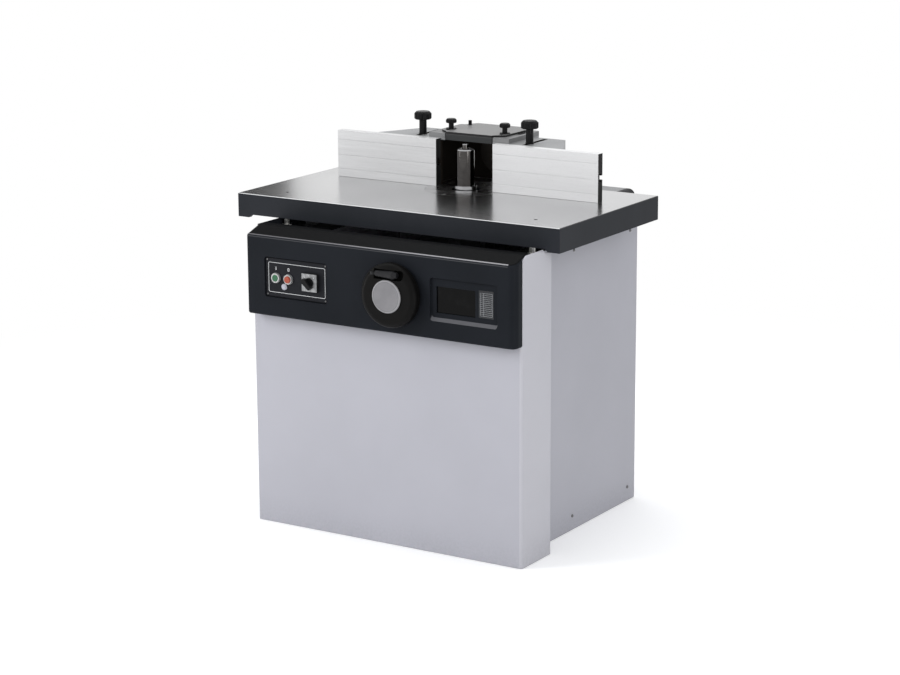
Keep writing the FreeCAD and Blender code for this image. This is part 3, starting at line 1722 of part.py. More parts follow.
def make_belt():
    sink = value("pulley_groove_depth - slide_gap")
    inner_spindle = value("spindle_pulley_middle") - sink
    inner_motor = value("motor_pulley_middle") - sink
    thickness = value("belt_thickness")
    height = value("pulley_groove_floor - 2 * slide_gap")
    low = value("pulley_bottom + 1.5 * pulley_step") - height / 2
    outer = belt_loop(inner_spindle + thickness, inner_motor + thickness, low, height)
    belt = doc.addObject("Part::Feature", "belt_loop")
    belt.Shape = outer.cut(belt_loop(inner_spindle, inner_motor, low, height))
    belt.Placement = FreeCAD.Placement()
    keep(belt, "drive_belt")


def make_spindle():
    flange_bottom = "arbor_seat - arbor_flange_height"
    shank_bottom = "arbor_top - cap_shank_length - seat_gap"
    shank_hole = "cap_shank_radius + seat_gap"
    arbor = turning(
        "arbor_turned",
        "Z",
        ("0", "0"),
        (
            ("0", "arbor_bottom"),
            ("arbor_pulley_seat - arbor_bevel", "arbor_bottom"),
            ("arbor_pulley_seat", "arbor_bottom + arbor_bevel"),
            ("arbor_pulley_seat", "pulley_top"),
            ("arbor_journal", "pulley_top"),
            ("arbor_journal", "quill_top - bearing_inset"),
            ("arbor_neck_radius", "quill_top"),
            ("arbor_neck_radius", flange_bottom),
            ("arbor_flange_radius", flange_bottom),
            ("arbor_flange_radius", "arbor_seat"),
            ("arbor_radius", "arbor_seat"),
            ("arbor_radius", "arbor_top - arbor_bevel"),
            ("arbor_radius - arbor_bevel", "arbor_top"),
            (shank_hole, "arbor_top"),
            (shank_hole, shank_bottom),
            ("0", shank_bottom),
        ),
    )
    keep(arbor, "spindle_arbor")
    screw = turning(
        "cap_screw_turned",
        "Z",
        ("0", "0"),
        (
            ("0", "arbor_top - cap_shank_length"),
            ("cap_shank_radius", "arbor_top - cap_shank_length"),
            ("cap_shank_radius", "arbor_top"),
            ("cap_screw_radius", "arbor_top"),
            ("cap_screw_radius", "cap_top - cap_screw_bevel"),
            ("cap_screw_radius - cap_screw_bevel", "cap_top"),
            ("0", "cap_top"),
        ),
    )
    flats = []
    flat_span = ("arbor_top + cap_screw_height / 3", "cap_top")
    for side, sign in MIRROR.items():
        inner = f"{sign}cap_screw_flat"
        outer = f"{sign}cap_screw_radius"
        across = (inner, outer) if side == "right" else (outer, inner)
        flats.append(
            box(f"cap_screw_flat_{side}", across, ("-cap_screw_radius", "cap_screw_radius"), flat_span)
        )
    keep(cut("cap_screw_cut", screw, flats), "arbor_cap_screw")


# Fence

def make_fence_plates():
    middle = "slot_z"
    front = "-fence_face"
    points = [(front, "fence_floor")]
    for share in ("0.17", "0.47", "0.8"):
        line = f"fence_floor + plate_height * {share}"
        points += [
            (front, f"{line} - face_groove"),
            (f"{front} + face_groove", line),
            (front, f"{line} + face_groove"),
        ]
    points += [
        (front, "plate_top"),
        ("plate_back", "plate_top"),
        ("plate_back", f"{middle} + slot_mouth / 2"),
        ("slot_shoulder", f"{middle} + slot_mouth / 2"),
        ("slot_shoulder", f"{middle} + slot_width / 2"),
        ("slot_bottom", f"{middle} + slot_width / 2"),
        ("slot_bottom", f"{middle} - slot_width / 2"),
        ("slot_shoulder", f"{middle} - slot_width / 2"),
        ("slot_shoulder", f"{middle} - slot_mouth / 2"),
        ("plate_back", f"{middle} - slot_mouth / 2"),
        ("plate_back", "fence_floor"),
    ]
    outer = "plate_gap_half + plate_length"
    keep(prism("left_extrusion", "YZ_Plane", points, (f"-1 * ({outer})", "-plate_gap_half")), "left_fence_plate")
    keep(prism("right_extrusion", "YZ_Plane", points, ("plate_gap_half", outer)), "right_fence_plate")


def bolt_places():
    return [(f"{side}_{row}", f"{sign}bolt_{row}") for side, sign in MIRROR.items() for row in ("near", "far")]


def make_plate_bolts():
    bolts = []
    head_back = "slot_shoulder - slide_gap"
    for name, x in bolt_places():
        head = box(
            f"bolt_head_{name}",
            centred(x, "bolt_head"),
            (f"{head_back} - bolt_head_height", head_back),
            centred("slot_z", "bolt_head"),
        )
        nut_back = "hood_inside + bolt_nut_height"
        shank = rod(f"bolt_shank_{name}", "bolt_radius", "Y", (x, "slot_z"), (head_back, nut_back))
        nut = rod(f"bolt_nut_{name}", "bolt_nut_radius", "Y", (x, "slot_z"), ("hood_inside", nut_back))
        bolts.append(fuse(f"plate_bolt_{name}", [head, shank, nut]))
    keep(group("plate_bolt_set", bolts), "plate_bolts")


def wing_edge(y, inset):
    """Where a wing's slanted side is at a depth, set in by a wall or not."""
    return f"(wing_front_x - wing_slope * ({y} - hood_front) - {inset})"


def make_fence_hood():
    height = ("fence_floor", "hood_top")
    outer = prism(
        "hood_outer",
        "XY_Plane",
        (
            ("-hood_half_width", "hood_front"),
            ("hood_half_width", "hood_front"),
            ("hood_half_width", "hood_back - hood_corner"),
            ("hood_half_width - hood_corner", "hood_back"),
            ("hood_corner - hood_half_width", "hood_back"),
            ("-hood_half_width", "hood_back - hood_corner"),
        ),
        height,
    )
    inner_side = "hood_half_width - hood_wall"
    inner_back = "hood_back - hood_wall"
    inner = prism(
        "hood_inner",
        "XY_Plane",
        (
            (f"-1 * ({inner_side})", "hood_inside"),
            (inner_side, "hood_inside"),
            (inner_side, f"{inner_back} - hood_wall"),
            (f"{inner_side} - hood_wall", inner_back),
            (f"hood_wall - ({inner_side})", inner_back),
            (f"-1 * ({inner_side})", f"{inner_back} - hood_wall"),
        ),
        height,
    )
    gap = ("-plate_gap_half", "plate_gap_half")
    mouth = box("hood_mouth", gap, ("hood_front", "hood_inside"), height)
    walls = cut("hood_walls", outer, [inner, mouth])
    pieces = [walls]
    cuts = []
    for side, sign in MIRROR.items():
        root = "hood_half_width - hood_wall / 2"
        blank = prism(
            f"wing_blank_{side}",
            "XY_Plane",
            (
                (f"{sign}({root})", "hood_front"),
                (f"{sign}wing_front_x", "hood_front"),
                (f"{sign}wing_back_x", "wing_back"),
                (f"{sign}({root})", "wing_back"),
            ),
            ("fence_floor", "wing_top"),
        )
        back_inside = "wing_back - wing_wall"
        hollow = prism(
            f"wing_hollow_{side}",
            "XY_Plane",
            (
                (f"{sign}hood_half_width", "hood_inside"),
                (f"{sign}{wing_edge('hood_inside', 'wing_inset')}", "hood_inside"),
                (f"{sign}{wing_edge(back_inside, 'wing_inset')}", back_inside),
                (f"{sign}hood_half_width", back_inside),
            ),
            ("fence_floor", "wing_top - wing_wall"),
        )
        pieces.append(cut(f"wing_{side}", blank, [hollow]))
        shelf = ("shelf_inner", "hood_half_width") if side == "right" else ("-hood_half_width", "-shelf_inner")
        pieces.append(
            box(
                f"hood_shelf_{side}",
                shelf,
                ("hood_front", "hood_front + shelf_depth"),
                ("hood_top - shelf_wall", "hood_top"),
            )
        )
        cuts.append(
            box(
                f"clamp_slot_{side}",
                centred(f"{sign}clamp_x", "clamp_slot_width"),
                ("clamp_slot_front", "clamp_slot_back"),
                ("wing_top - wing_wall", "wing_top"),
            )
        )
        cuts.append(
            rod(
                f"cover_stud_hole_{side}",
                "cover_stud_radius + running_gap",
                "Z",
                (f"{sign}cover_knob_x", "cover_knob_y"),
                ("hood_top - shelf_wall", "hood_top"),
            )
        )
    for name, x in bolt_places():
        wall = ("hood_front", "hood_inside")
        cuts.append(rod(f"hood_bolt_hole_{name}", "bolt_radius + seat_gap", "Y", (x, "slot_z"), wall))
    outlet_axis = ("0", "hood_outlet_z")
    tube_span = (inner_back, "hood_back + hood_outlet_length")
    pieces.append(rod("hood_outlet_tube", "outlet_radius", "Y", outlet_axis, tube_span))
    cuts.append(rod("hood_outlet_bore", "outlet_radius - outlet_wall", "Y", outlet_axis, tube_span))
    keep(cut("hood_cast", fuse("hood_casting", pieces), cuts), "fence_hood")


def make_hood_cover():
    plate = prism(
        "cover_plate",
        "XY_Plane",
        (
            ("-cover_lip_half", "cover_front"),
            ("cover_lip_half", "cover_front"),
            ("cover_lip_half", "cover_front + cover_lip_wall"),
            ("cover_half_width", "cover_ear"),
            ("cover_half_width", "cover_back_corner"),
            ("cover_back_half", "cover_back"),
            ("-cover_back_half", "cover_back"),
            ("-cover_half_width", "cover_back_corner"),
            ("-cover_half_width", "cover_ear"),
            ("-cover_lip_half", "cover_front + cover_lip_wall"),
        ),
        ("cover_bottom", "cover_top"),
    )
    lip = box(
        "cover_lip",
        ("-cover_lip_half", "cover_lip_half"),
        ("cover_front", "cover_front + cover_lip_wall"),
        ("cover_lip_bottom", "cover_top"),
    )
    slots = []
    for side, sign in MIRROR.items():
        front = "cover_knob_y - cover_travel - cover_slot_width / 2"
        slots.append(
            box(
                f"cover_slot_{side}",
                centred(f"{sign}cover_knob_x", "cover_slot_width"),
                (front, "cover_knob_y + cover_slot_width / 2"),
                ("cover_bottom", "cover_top"),
            )
        )
    keep(cut("cover_slotted", fuse("cover_bent", [plate, lip]), slots), "hood_cover")
    stud_span = ("cover_top", "cover_top + stud_height")
    keep(rod("cover_pull_stud", "stud_radius", "Z", ("stud_x", "stud_y"), stud_span), "cover_stud")


def make_knob(label, sizes, centre, seat, foot):
    """A scalloped knob on a stem, with a washer under it and a stud below."""
    stem_radius, stem_height, washer_radius, head_radius, head_height, stud_radius = sizes
    washer_top = f"{seat} + knob_washer_height"
    head_low = f"{seat} + {stem_height}"
    head_high = f"{head_low} + {head_height}"
    spread = f"{head_radius} * 0.12"
    shank = turning(
        f"{label}_turned",
        "Z",
        centre,
        (
            ("0", foot),
            (stud_radius, foot),
            (stud_radius, seat),
            (washer_radius, seat),
            (washer_radius, washer_top),
            (stem_radius, washer_top),
            (stem_radius, head_low),
            (f"{head_radius} - {spread}", head_low),
            (head_radius, f"{head_low} + {spread}"),
            (head_radius, f"{head_high} - {spread} * 2"),
            (f"{head_radius} - {spread} * 2", head_high),
            ("0", head_high),
        ),
    )
    x, y = centre
    scallop = rod(
        f"{label}_scallop",
        f"{head_radius} * knob_scallop",
        "Z",
        (f"{x} + {head_radius} * 1.2", y),
        (head_low, head_high),
    )
    keep(cut(f"{label}_scalloped", shank, ring_of(scallop, f"{label}_cut", "knob_lobes", centre)), label)


def make_knobs():
    clamp = (
        "clamp_stem_radius",
        "clamp_stem_height",
        "clamp_washer_radius",
        "clamp_head_radius",
        "clamp_head_height",
        "clamp_stud_radius",
    )
    cover = (
        "cover_stem_radius",
        "cover_stem_height",
        "cover_washer_radius",
        "cover_head_radius",
        "cover_head_height",
        "cover_stud_radius",
    )
    for side, sign in MIRROR.items():
        clamp_centre = (f"{sign}clamp_x", "clamp_y")
        make_knob(f"{side}_clamp_knob", clamp, clamp_centre, "(wing_top + slide_gap)", "table_under")
        cover_centre = (f"{sign}cover_knob_x", "cover_knob_y")
        foot = "hood_top - shelf_wall"
        make_knob(f"{side}_cover_knob", cover, cover_centre, "(cover_top + slide_gap)", foot)


def check_and_write():
    """Stop on a piece that failed, then write each piece to its own file."""
    doc.recompute()
    for item in doc.Objects:
        if {"Invalid", "Error"} & set(item.State):
            raise RuntimeError(f"{item.Name} failed: {item.State}")
    for item in subparts:
        shape = item.Shape
        if shape.isNull() or not shape.isValid() or not shape.Solids:
            raise RuntimeError(f"{item.Label} has no valid solid")
    os.makedirs("parts", exist_ok=True)
    for item in subparts:
        item.Shape.exportStep(f"parts/{item.Label}.step")


fill_sheet()
make_table()
make_rings()
make_rear_rail()
make_jack_bolts()
make_base_frame()
make_panels()
make_right_column()
make_top_frame()
make_door()
make_dust_outlet()
make_control_panel()
make_control_plate()
make_buttons()
make_rotary_switch()
make_handwheel()
make_folding_handle()
make_lift_drive()
make_guides()
make_carriage()
make_motor()
make_pulleys()
make_belt()
make_spindle()
make_fence_plates()
make_plate_bolts()
make_fence_hood()
make_hood_cover()
make_knobs()
check_and_write()
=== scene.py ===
import math

import bmesh
import bpy
from mathutils import Matrix, Vector


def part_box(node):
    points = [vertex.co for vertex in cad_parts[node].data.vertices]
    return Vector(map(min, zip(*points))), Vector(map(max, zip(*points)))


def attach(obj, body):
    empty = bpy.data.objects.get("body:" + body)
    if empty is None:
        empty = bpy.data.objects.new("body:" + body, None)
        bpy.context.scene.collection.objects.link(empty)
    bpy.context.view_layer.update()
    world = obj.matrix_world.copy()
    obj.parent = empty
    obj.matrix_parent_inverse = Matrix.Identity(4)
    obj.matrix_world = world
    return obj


# A spindle moulder in a white studio.
# Metres, +Z up, +X to the operator's right, +Y away from the operator.

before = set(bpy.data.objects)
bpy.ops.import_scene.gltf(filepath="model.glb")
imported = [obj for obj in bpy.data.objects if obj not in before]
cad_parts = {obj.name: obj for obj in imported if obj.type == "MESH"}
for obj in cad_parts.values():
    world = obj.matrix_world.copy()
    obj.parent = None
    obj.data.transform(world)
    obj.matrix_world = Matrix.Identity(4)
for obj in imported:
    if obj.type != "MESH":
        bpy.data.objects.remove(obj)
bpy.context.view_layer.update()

MM = 0.001
WHITE = (1.0, 1.0, 1.0, 1.0)

# Places on the machine: the duct's height, the flange's height over the table, the clamps' distance
# from the middle, and the centres that pieces turn about, across their axes.
DUCT_HEIGHT = 0.965
ARBOR_SEAT = 0.010
CLAMP_SIDE = 0.174
SPINDLE = (0.0, 0.0)
MOTOR = (-0.200, 0.040)
SCREW = (0.102, -0.110)
WHEEL = (0.102, 0.701)
START = (-0.279, 0.702)


# Finishes

AXIS_Y, AXIS_Z = 1, 2
EVEN = (1.0, 1.0, 1.0)
ALONG_X = (0.015, 1.0, 1.0)

# The colour sockets of a Mix node, which share their names with its plain ones
MIX_AMOUNT, MIX_FIRST, MIX_SECOND = 0, 6, 7
MIX_RESULT = 2

SHADER_SOCKETS = {
    "base": "Base Color",
    "roughness": "Roughness",
    "metallic": "Metallic",
    "normal": "Normal",
    "coat": "Coat Weight",
    "coat_roughness": "Coat Roughness",
    "specular": "Specular IOR Level",
}


class Value:
    """A shader value that plain sums can be done on."""

    def __init__(self, finish, socket):
        self.finish = finish
        self.socket = socket

    def sum(self, operation, *values):
        return self.finish.node("ShaderNodeMath", {"operation": operation}, values)

    def __add__(self, other):
        return self.sum("ADD", self, other)

    def __sub__(self, other):
        return self.sum("SUBTRACT", self, other)

    def __rsub__(self, other):
        return self.sum("SUBTRACT", other, self)

    def __mul__(self, other):
        return self.sum("MULTIPLY", self, other)

    def __gt__(self, other):
        return self.sum("GREATER_THAN", self, other)

    def __lt__(self, other):
        return self.sum("LESS_THAN", self, other)

    __radd__ = __add__
    __rmul__ = __mul__

    def root(self):
        return self.sum("SQRT", self)

    def size(self):
        return self.sum("ABSOLUTE", self)

    def wave(self):
        return self.sum("SINE", self)

    def most(self, other):
        return self.sum("MAXIMUM", self, other)

    def within(self, low, high):
        """1 between low and high, 0 outside them."""
        return (self > low) * (self < high)

    def ramp(self, low, high):
        """0 below low, 1 above high, and smooth between them."""
        settings = {"interpolation_type": "SMOOTHSTEP"}
        sockets = {"Value": self, "From Min": low, "From Max": high}
        return self.finish.node("ShaderNodeMapRange", settings, sockets)

    def band(self, start, full, fade, end):
        """1 from full to fade, 0 before start and after end, and smooth between them."""
        return self.ramp(start, full) * (1 - self.ramp(fade, end))


class Finish:
    """One finish of the machine, or the studio round it, and the nodes that make it."""

    def __init__(self, name, world=None):
        self.owner = world or bpy.data.materials.new(name)
        self.owner.use_nodes = True
        self.tree = self.owner.node_tree
        self.tree.nodes.clear()
        self.end = self.tree.nodes.new("ShaderNodeOutputWorld" if world else "ShaderNodeOutputMaterial")

    def feed(self, socket, value):
        if isinstance(value, Value):
            self.tree.links.new(value.socket, socket)
        else:
            socket.default_value = value

    def add(self, kind, settings=None, sockets=()):
        """A node of that kind, set up first and then fed by socket name or number."""
        node = self.tree.nodes.new(kind)
        for name, setting in (settings or {}).items():
            setattr(node, name, setting)
        pairs = sockets.items() if isinstance(sockets, dict) else enumerate(sockets)
        for socket, value in pairs:
            self.feed(node.inputs[socket], value)
        return node

    def node(self, kind, settings=None, sockets=(), output=0):
        return Value(self, self.add(kind, settings, sockets).outputs[output])

    def place(self):
        """The point on the piece, in the machine's own frame at rest."""
        return self.node("ShaderNodeTexCoord", output="Object")

    def axes(self, vector):
        node = self.add("ShaderNodeSeparateXYZ", None, (vector,))
        return [Value(self, socket) for socket in node.outputs]

    def facing(self):
        """The face's own direction, before any rounding or bump."""
        return self.axes(self.node("ShaderNodeTexCoord", output="Normal"))

    def noise(self, scale, detail=3.0, roughness=0.55, stretch=EVEN):
        sizes = self.node("ShaderNodeVectorMath", {"operation": "MULTIPLY"}, (self.place(), stretch))
        sockets = {"Vector": sizes, "Scale": scale, "Detail": detail, "Roughness": roughness}
        return self.node("ShaderNodeTexNoise", None, sockets)

    def scratches(self, scale, stretch, threshold):
        """Thin broken lines: the ridges of a stretched noise."""
        ridge = (self.noise(scale, 2.0, 0.6, stretch) - 0.5).size()
        return 1 - ridge.ramp(0.0, threshold)

    def mix(self, amount, first, second):
        sockets = {MIX_AMOUNT: amount, MIX_FIRST: colour(first), MIX_SECOND: colour(second)}
        return self.node("ShaderNodeMix", {"data_type": "RGBA"}, sockets, MIX_RESULT)

    def vary(self, tone, pattern, darker, lighter):
        """A tone that a pattern takes from a darker to a lighter share of itself."""
        return self.mix(pattern, shade(tone, darker), shade(tone, lighter))

    def rounded(self, radius):
        """A normal that rounds the edges off, and a mask of those edges."""
        soft = self.node("ShaderNodeBevel", {"samples": 6}, {"Radius": radius})
        hard = self.node("ShaderNodeNewGeometry", output="Normal")
        settings = {"operation": "DOT_PRODUCT"}
        match = self.node("ShaderNodeVectorMath", settings, (soft, hard), output="Value")
        return soft, (1 - match).ramp(0.02, 0.22)

    def bump(self, height, depth, normal=None):
        sockets = {"Height": height, "Distance": depth}
        if normal is not None:
            sockets["Normal"] = normal
        return self.node("ShaderNodeBump", None, sockets)

    def glow(self, strength):
        return self.node("ShaderNodeEmission", None, {"Color": WHITE, "Strength": strength})

    def surface(self, **sockets):
        """Close the finish with one shader, whose sockets are named in words."""
        sockets = {SHADER_SOCKETS[name]: colour(value) for name, value in sockets.items()}
        return self.close(self.node("ShaderNodeBsdfPrincipled", None, sockets))

    def close(self, shader):
        self.feed(self.end.inputs["Surface"], shader)
        return self.owner


def colour(value):
    """A colour of three numbers with its alpha added; anything else unchanged."""
    if isinstance(value, tuple) and len(value) == 3:
        return (*value, 1.0)
    return value


def shade(tone, amount):
    """A colour made lighter or darker by a share of itself."""
    return tuple(min(1.0, channel * amount) for channel in tone)


def powder_coat(name, tone, roughness):
    """Sprayed sheet metal: orange peel, faint clouding, edges rubbed lighter and dust towards the floor."""
    finish = Finish(name)
    clouds = finish.noise(4.0, 4.0)
    fine = finish.noise(140.0)
    grain = finish.noise(1400.0, 1.0)
    normal, edge = finish.rounded(1.2 * MM)
    height = finish.axes(finish.place())[2]
    dust_top = 90 * MM
    dust = (1 - height.ramp(0.0, dust_top)) * fine.ramp(0.3, 0.7) * 0.3
    base = finish.vary(tone, clouds.ramp(0.3, 0.7), 0.98, 1.02)
    base = finish.mix(edge * fine.ramp(0.35, 0.75) * 0.35, base, shade(tone, 1.5))
    base = finish.mix(dust, base, shade(tone, 0.72))
    return finish.surface(
        base=base,
        roughness=roughness - 0.06 + 0.12 * fine + 0.08 * dust,
        specular=0.4,
        normal=finish.bump(grain + 0.4 * fine, 0.04 * MM, normal),
    )


def panel_finish():
    """Charcoal powder coat, with painted highlights along the bend, painted shade on the slope above it, and
    a painted highlight on the sill under the window.
    """
    finish = Finish("panel charcoal")
    x, _, z = finish.axes(finish.place())
    lean = finish.facing()[2]
    pane_low, pane_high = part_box("window_pane")
    sill_left, sill_right = pane_low.x - 12 * MM, pane_high.x + 66 * MM
    bend_bottom, bend_right = pane_high.z + 20 * MM, pane_high.x + 92 * MM
    # Painted highlight: the up-facing sill under the window is painted a satin grey
    sill_highlight = x.within(sill_left, sill_right) * (z < pane_low.z) * lean.band(0.35, 0.5, 0.75, 0.9)
    above = z > bend_bottom
    bend = above * (x < bend_right)
    # Painted highlights: two pale lines along the bend, the upper one lighter towards the right
    bend_foot_highlight = bend * lean.band(0.02, 0.1, 0.25, 0.4)
    bend_head_highlight = bend * lean.band(0.6, 0.75, 0.9, 0.94)
    # Painted shade: the up-facing slope above the bend is darkened almost to black
    shaded_slope = above * lean.ramp(0.5, 0.9)
    fine = finish.noise(140.0)
    grain = finish.noise(1400.0, 1.0)
    clouds = finish.noise(5.0, 4.0)
    normal, edge = finish.rounded(1.2 * MM)
    tone = (0.0118, 0.0134, 0.0168)
    base = finish.vary(tone, clouds.ramp(0.3, 0.7), 0.9, 1.1)
    # Painted shade on the slope, then lighter wear along the edges
    base = finish.mix(shaded_slope, base, (0.0020, 0.0022, 0.0026))
    base = finish.mix(edge * fine.ramp(0.35, 0.75) * 0.3, base, shade(tone, 3.0))
    # Painted highlights on the bend, then a painted highlight on the sill
    base = finish.mix(bend_foot_highlight, base, (0.05, 0.051, 0.055))
    base = finish.mix(bend_head_highlight * (0.4 + 0.6 * x.ramp(-0.25, 0.25)), base, (0.30, 0.295, 0.31))
    base = finish.mix(sill_highlight, base, (0.105, 0.106, 0.115))
    return finish.surface(
        base=base,
        roughness=0.4 + 0.1 * fine,
        specular=0.04,
        normal=finish.bump(grain + 0.4 * fine, 0.04 * MM, normal),
    )


def moulded_plastic(name, tone, roughness, grain_depth=0.03 * MM, specular=0.45):
    """Moulded plastic: a fine spark-eroded grain, worn smoother in patches and along the edges."""
    finish = Finish(name)
    patches = finish.noise(30.0)
    grain = finish.noise(1800.0, 2.0)
    normal, edge = finish.rounded(0.8 * MM)
    base = finish.vary(tone, patches.ramp(0.3, 0.7), 0.9, 1.1)
    base = finish.mix(edge * 0.25, base, shade(tone, 1.8))
    return finish.surface(
        base=base,
        roughness=roughness + 0.04 - 0.08 * patches.ramp(0.4, 0.8) - 0.06 * edge,
        specular=specular,
        normal=finish.bump(grain, grain_depth, normal),
    )


def drawn_metal(name, tone, roughness, stretch, metallic=1.0, lines=0.5):
    """Drawn or brushed metal: fine lines along the direction in which stretch is small."""
    finish = Finish(name)
    strokes = finish.noise(900.0, 3.0, 0.6, stretch)
    clouds = finish.noise(7.0)
    normal, edge = finish.rounded(0.7 * MM)
    amount = strokes.ramp(0.25, 0.75) * lines + clouds.ramp(0.3, 0.7) * (1 - lines)
    base = finish.vary(tone, amount, 0.93, 1.05)
    base = finish.mix(edge * 0.4, base, shade(tone, 1.25))
    return finish.surface(
        base=base,
        metallic=metallic,
        roughness=roughness - 0.06 + 0.12 * strokes,
        normal=finish.bump(strokes, 0.02 * MM, normal),
    )


def fence_finish():
    """Anodised extrusion, brushed along its length, with its ends and its T-slot blacked."""
    finish = Finish("fence aluminium")
    x, y, z = finish.axes(finish.place())
    low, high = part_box("left_fence_plate")
    slot_floor, slot_mouth = high.y - 16.5 * MM, high.y - 0.1 * MM
    slot_middle, slot_half = (low.z + high.z) / 2, 11.2 * MM
    slot = y.within(slot_floor, slot_mouth) * ((z - slot_middle).size() < slot_half)
    blacked = finish.facing()[0].size().ramp(0.8, 0.95).most(slot)
    strokes = finish.noise(900.0, 3.0, 0.6, ALONG_X)
    streaks = finish.noise(60.0, 3.0, 0.6, (0.05, 1.0, 1.0))
    knocks = finish.scratches(70.0, (0.4, 1.0, 1.0), 0.01)
    normal, edge = finish.rounded(0.7 * MM)
    tone = (0.65, 0.65, 0.656)
    brushed = strokes.ramp(0.25, 0.75) * 0.5 + streaks.ramp(0.3, 0.7) * 0.5
    base = finish.vary(tone, brushed, 0.9, 1.07)
    # Painted light: the plates are lighter towards the right
    base = finish.mix(x.ramp(-0.1, 0.2) * 0.5, base, shade(tone, 1.3))
    base = finish.mix(knocks * 0.12, base, shade(tone, 0.6))
    base = finish.mix(edge * 0.25, base, shade(tone, 1.2))
    base = finish.mix(blacked, base, (0.005, 0.005, 0.0055))
    return finish.surface(
        base=base,
        metallic=(1 - blacked) * 0.5,
        roughness=0.36 + 0.12 * strokes + 0.1 * blacked,
        specular=0.15,
        normal=finish.bump(strokes + streaks, 0.02 * MM, normal),
    )


def turned_metal(name, tone, roughness, axis, centre, pitch=0.35 * MM, metallic=1.0, oil=0.0):
    """Turned metal: tool marks round an axis, faint bands along it, oil stains and bright edges."""
    finish = Finish(name)
    across = finish.axes(finish.place())
    along = across.pop(axis)
    first, second = across[0] - centre[0], across[1] - centre[1]
    radius = (first * first + second * second).root()
    marks = ((radius + along) * (math.tau / pitch)).wave() * 0.5 + 0.5
    stretch = tuple(1.0 if number == axis else 0.15 for number in range(3))
    bands = finish.noise(160.0, 2.0, 0.5, stretch)
    stain = finish.noise(22.0, 4.0)
    normal, edge = finish.rounded(0.6 * MM)
    base = finish.vary(tone, bands.ramp(0.3, 0.7), 0.88, 1.06)
    base = finish.mix(stain.ramp(0.45, 0.75) * oil, base, shade(tone, 0.45))
    base = finish.mix(edge * 0.5, base, shade(tone, 1.3))
    return finish.surface(
        base=base,
        metallic=metallic,
        roughness=roughness - 0.05 + 0.1 * bands + 0.06 * marks,
        normal=finish.bump(marks + bands, 0.01 * MM, normal),
    )


def cast_paint(name, tone, roughness, sand_depth=0.25 * MM):
    """A painted casting: sand texture under the paint, and rubbed edges."""
    finish = Finish(name)
    sand = finish.noise(420.0, 4.0, 0.65)
    clouds = finish.noise(9.0, 4.0)
    normal, edge = finish.rounded(1.6 * MM)
    base = finish.vary(tone, clouds.ramp(0.3, 0.7), 0.92, 1.06)
    base = finish.mix(edge * sand.ramp(0.4, 0.7) * 0.5, base, shade(tone, 1.5))
    return finish.surface(
        base=base,
        roughness=roughness - 0.06 + 0.12 * sand,
        normal=finish.bump(sand, sand_depth, normal),
    )


def table_finish():
    """Ground iron on top, a bevel with a painted highlight in front and painted shade on its other sides, and
    charcoal paint on the skirt.
    """
    finish = Finish("table ground iron")
    z = finish.axes(finish.place())[2]
    _, away, up = finish.facing()
    table_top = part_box("table")[1].z
    top = up.ramp(0.9, 0.97) * (z > table_top - 0.5 * MM)
    bevel = up.band(0.3, 0.5, 0.9, 0.97) * (z > table_top - 4 * MM)
    front = (away * -1).ramp(0.2, 0.5)
    strokes = finish.noise(700.0, 3.0, 0.6, (0.02, 1.0, 1.0))
    scratches = finish.scratches(60.0, (0.25, 1.0, 1.0), 0.012)
    stain = finish.noise(3.5, 5.0, 0.6)
    grain = finish.noise(1200.0, 2.0)
    normal, _ = finish.rounded(0.8 * MM)
    ground = finish.mix(stain.ramp(0.3, 0.72), (0.52, 0.521, 0.528), (0.59, 0.591, 0.598))
    ground = finish.mix(strokes.ramp(0.4, 0.8) * 0.35, ground, (0.64, 0.642, 0.648))
    ground = finish.mix(scratches * 0.1, ground, (0.74, 0.742, 0.748))
    paint = finish.mix(stain.ramp(0.3, 0.7), (0.0165, 0.0185, 0.0225), (0.0225, 0.0245, 0.0295))
    base = finish.mix(top, paint, ground)
    # Painted highlight on the front bevel, and painted shade on the bevel's other sides
    base = finish.mix(bevel, base, finish.mix(front, (0.10, 0.10, 0.105), (0.74, 0.75, 0.76)))
    ground_roughness = 0.15 + 0.08 * strokes + 0.05 * stain
    paint_roughness = 0.42 + 0.1 * grain
    return finish.surface(
        base=base,
        metallic=top + bevel * 0.6,
        roughness=top * ground_roughness + (1 - top) * paint_roughness,
        specular=0.1,
        normal=finish.bump(top * strokes * 0.3 + (1 - top) * grain, 0.03 * MM, normal),
    )


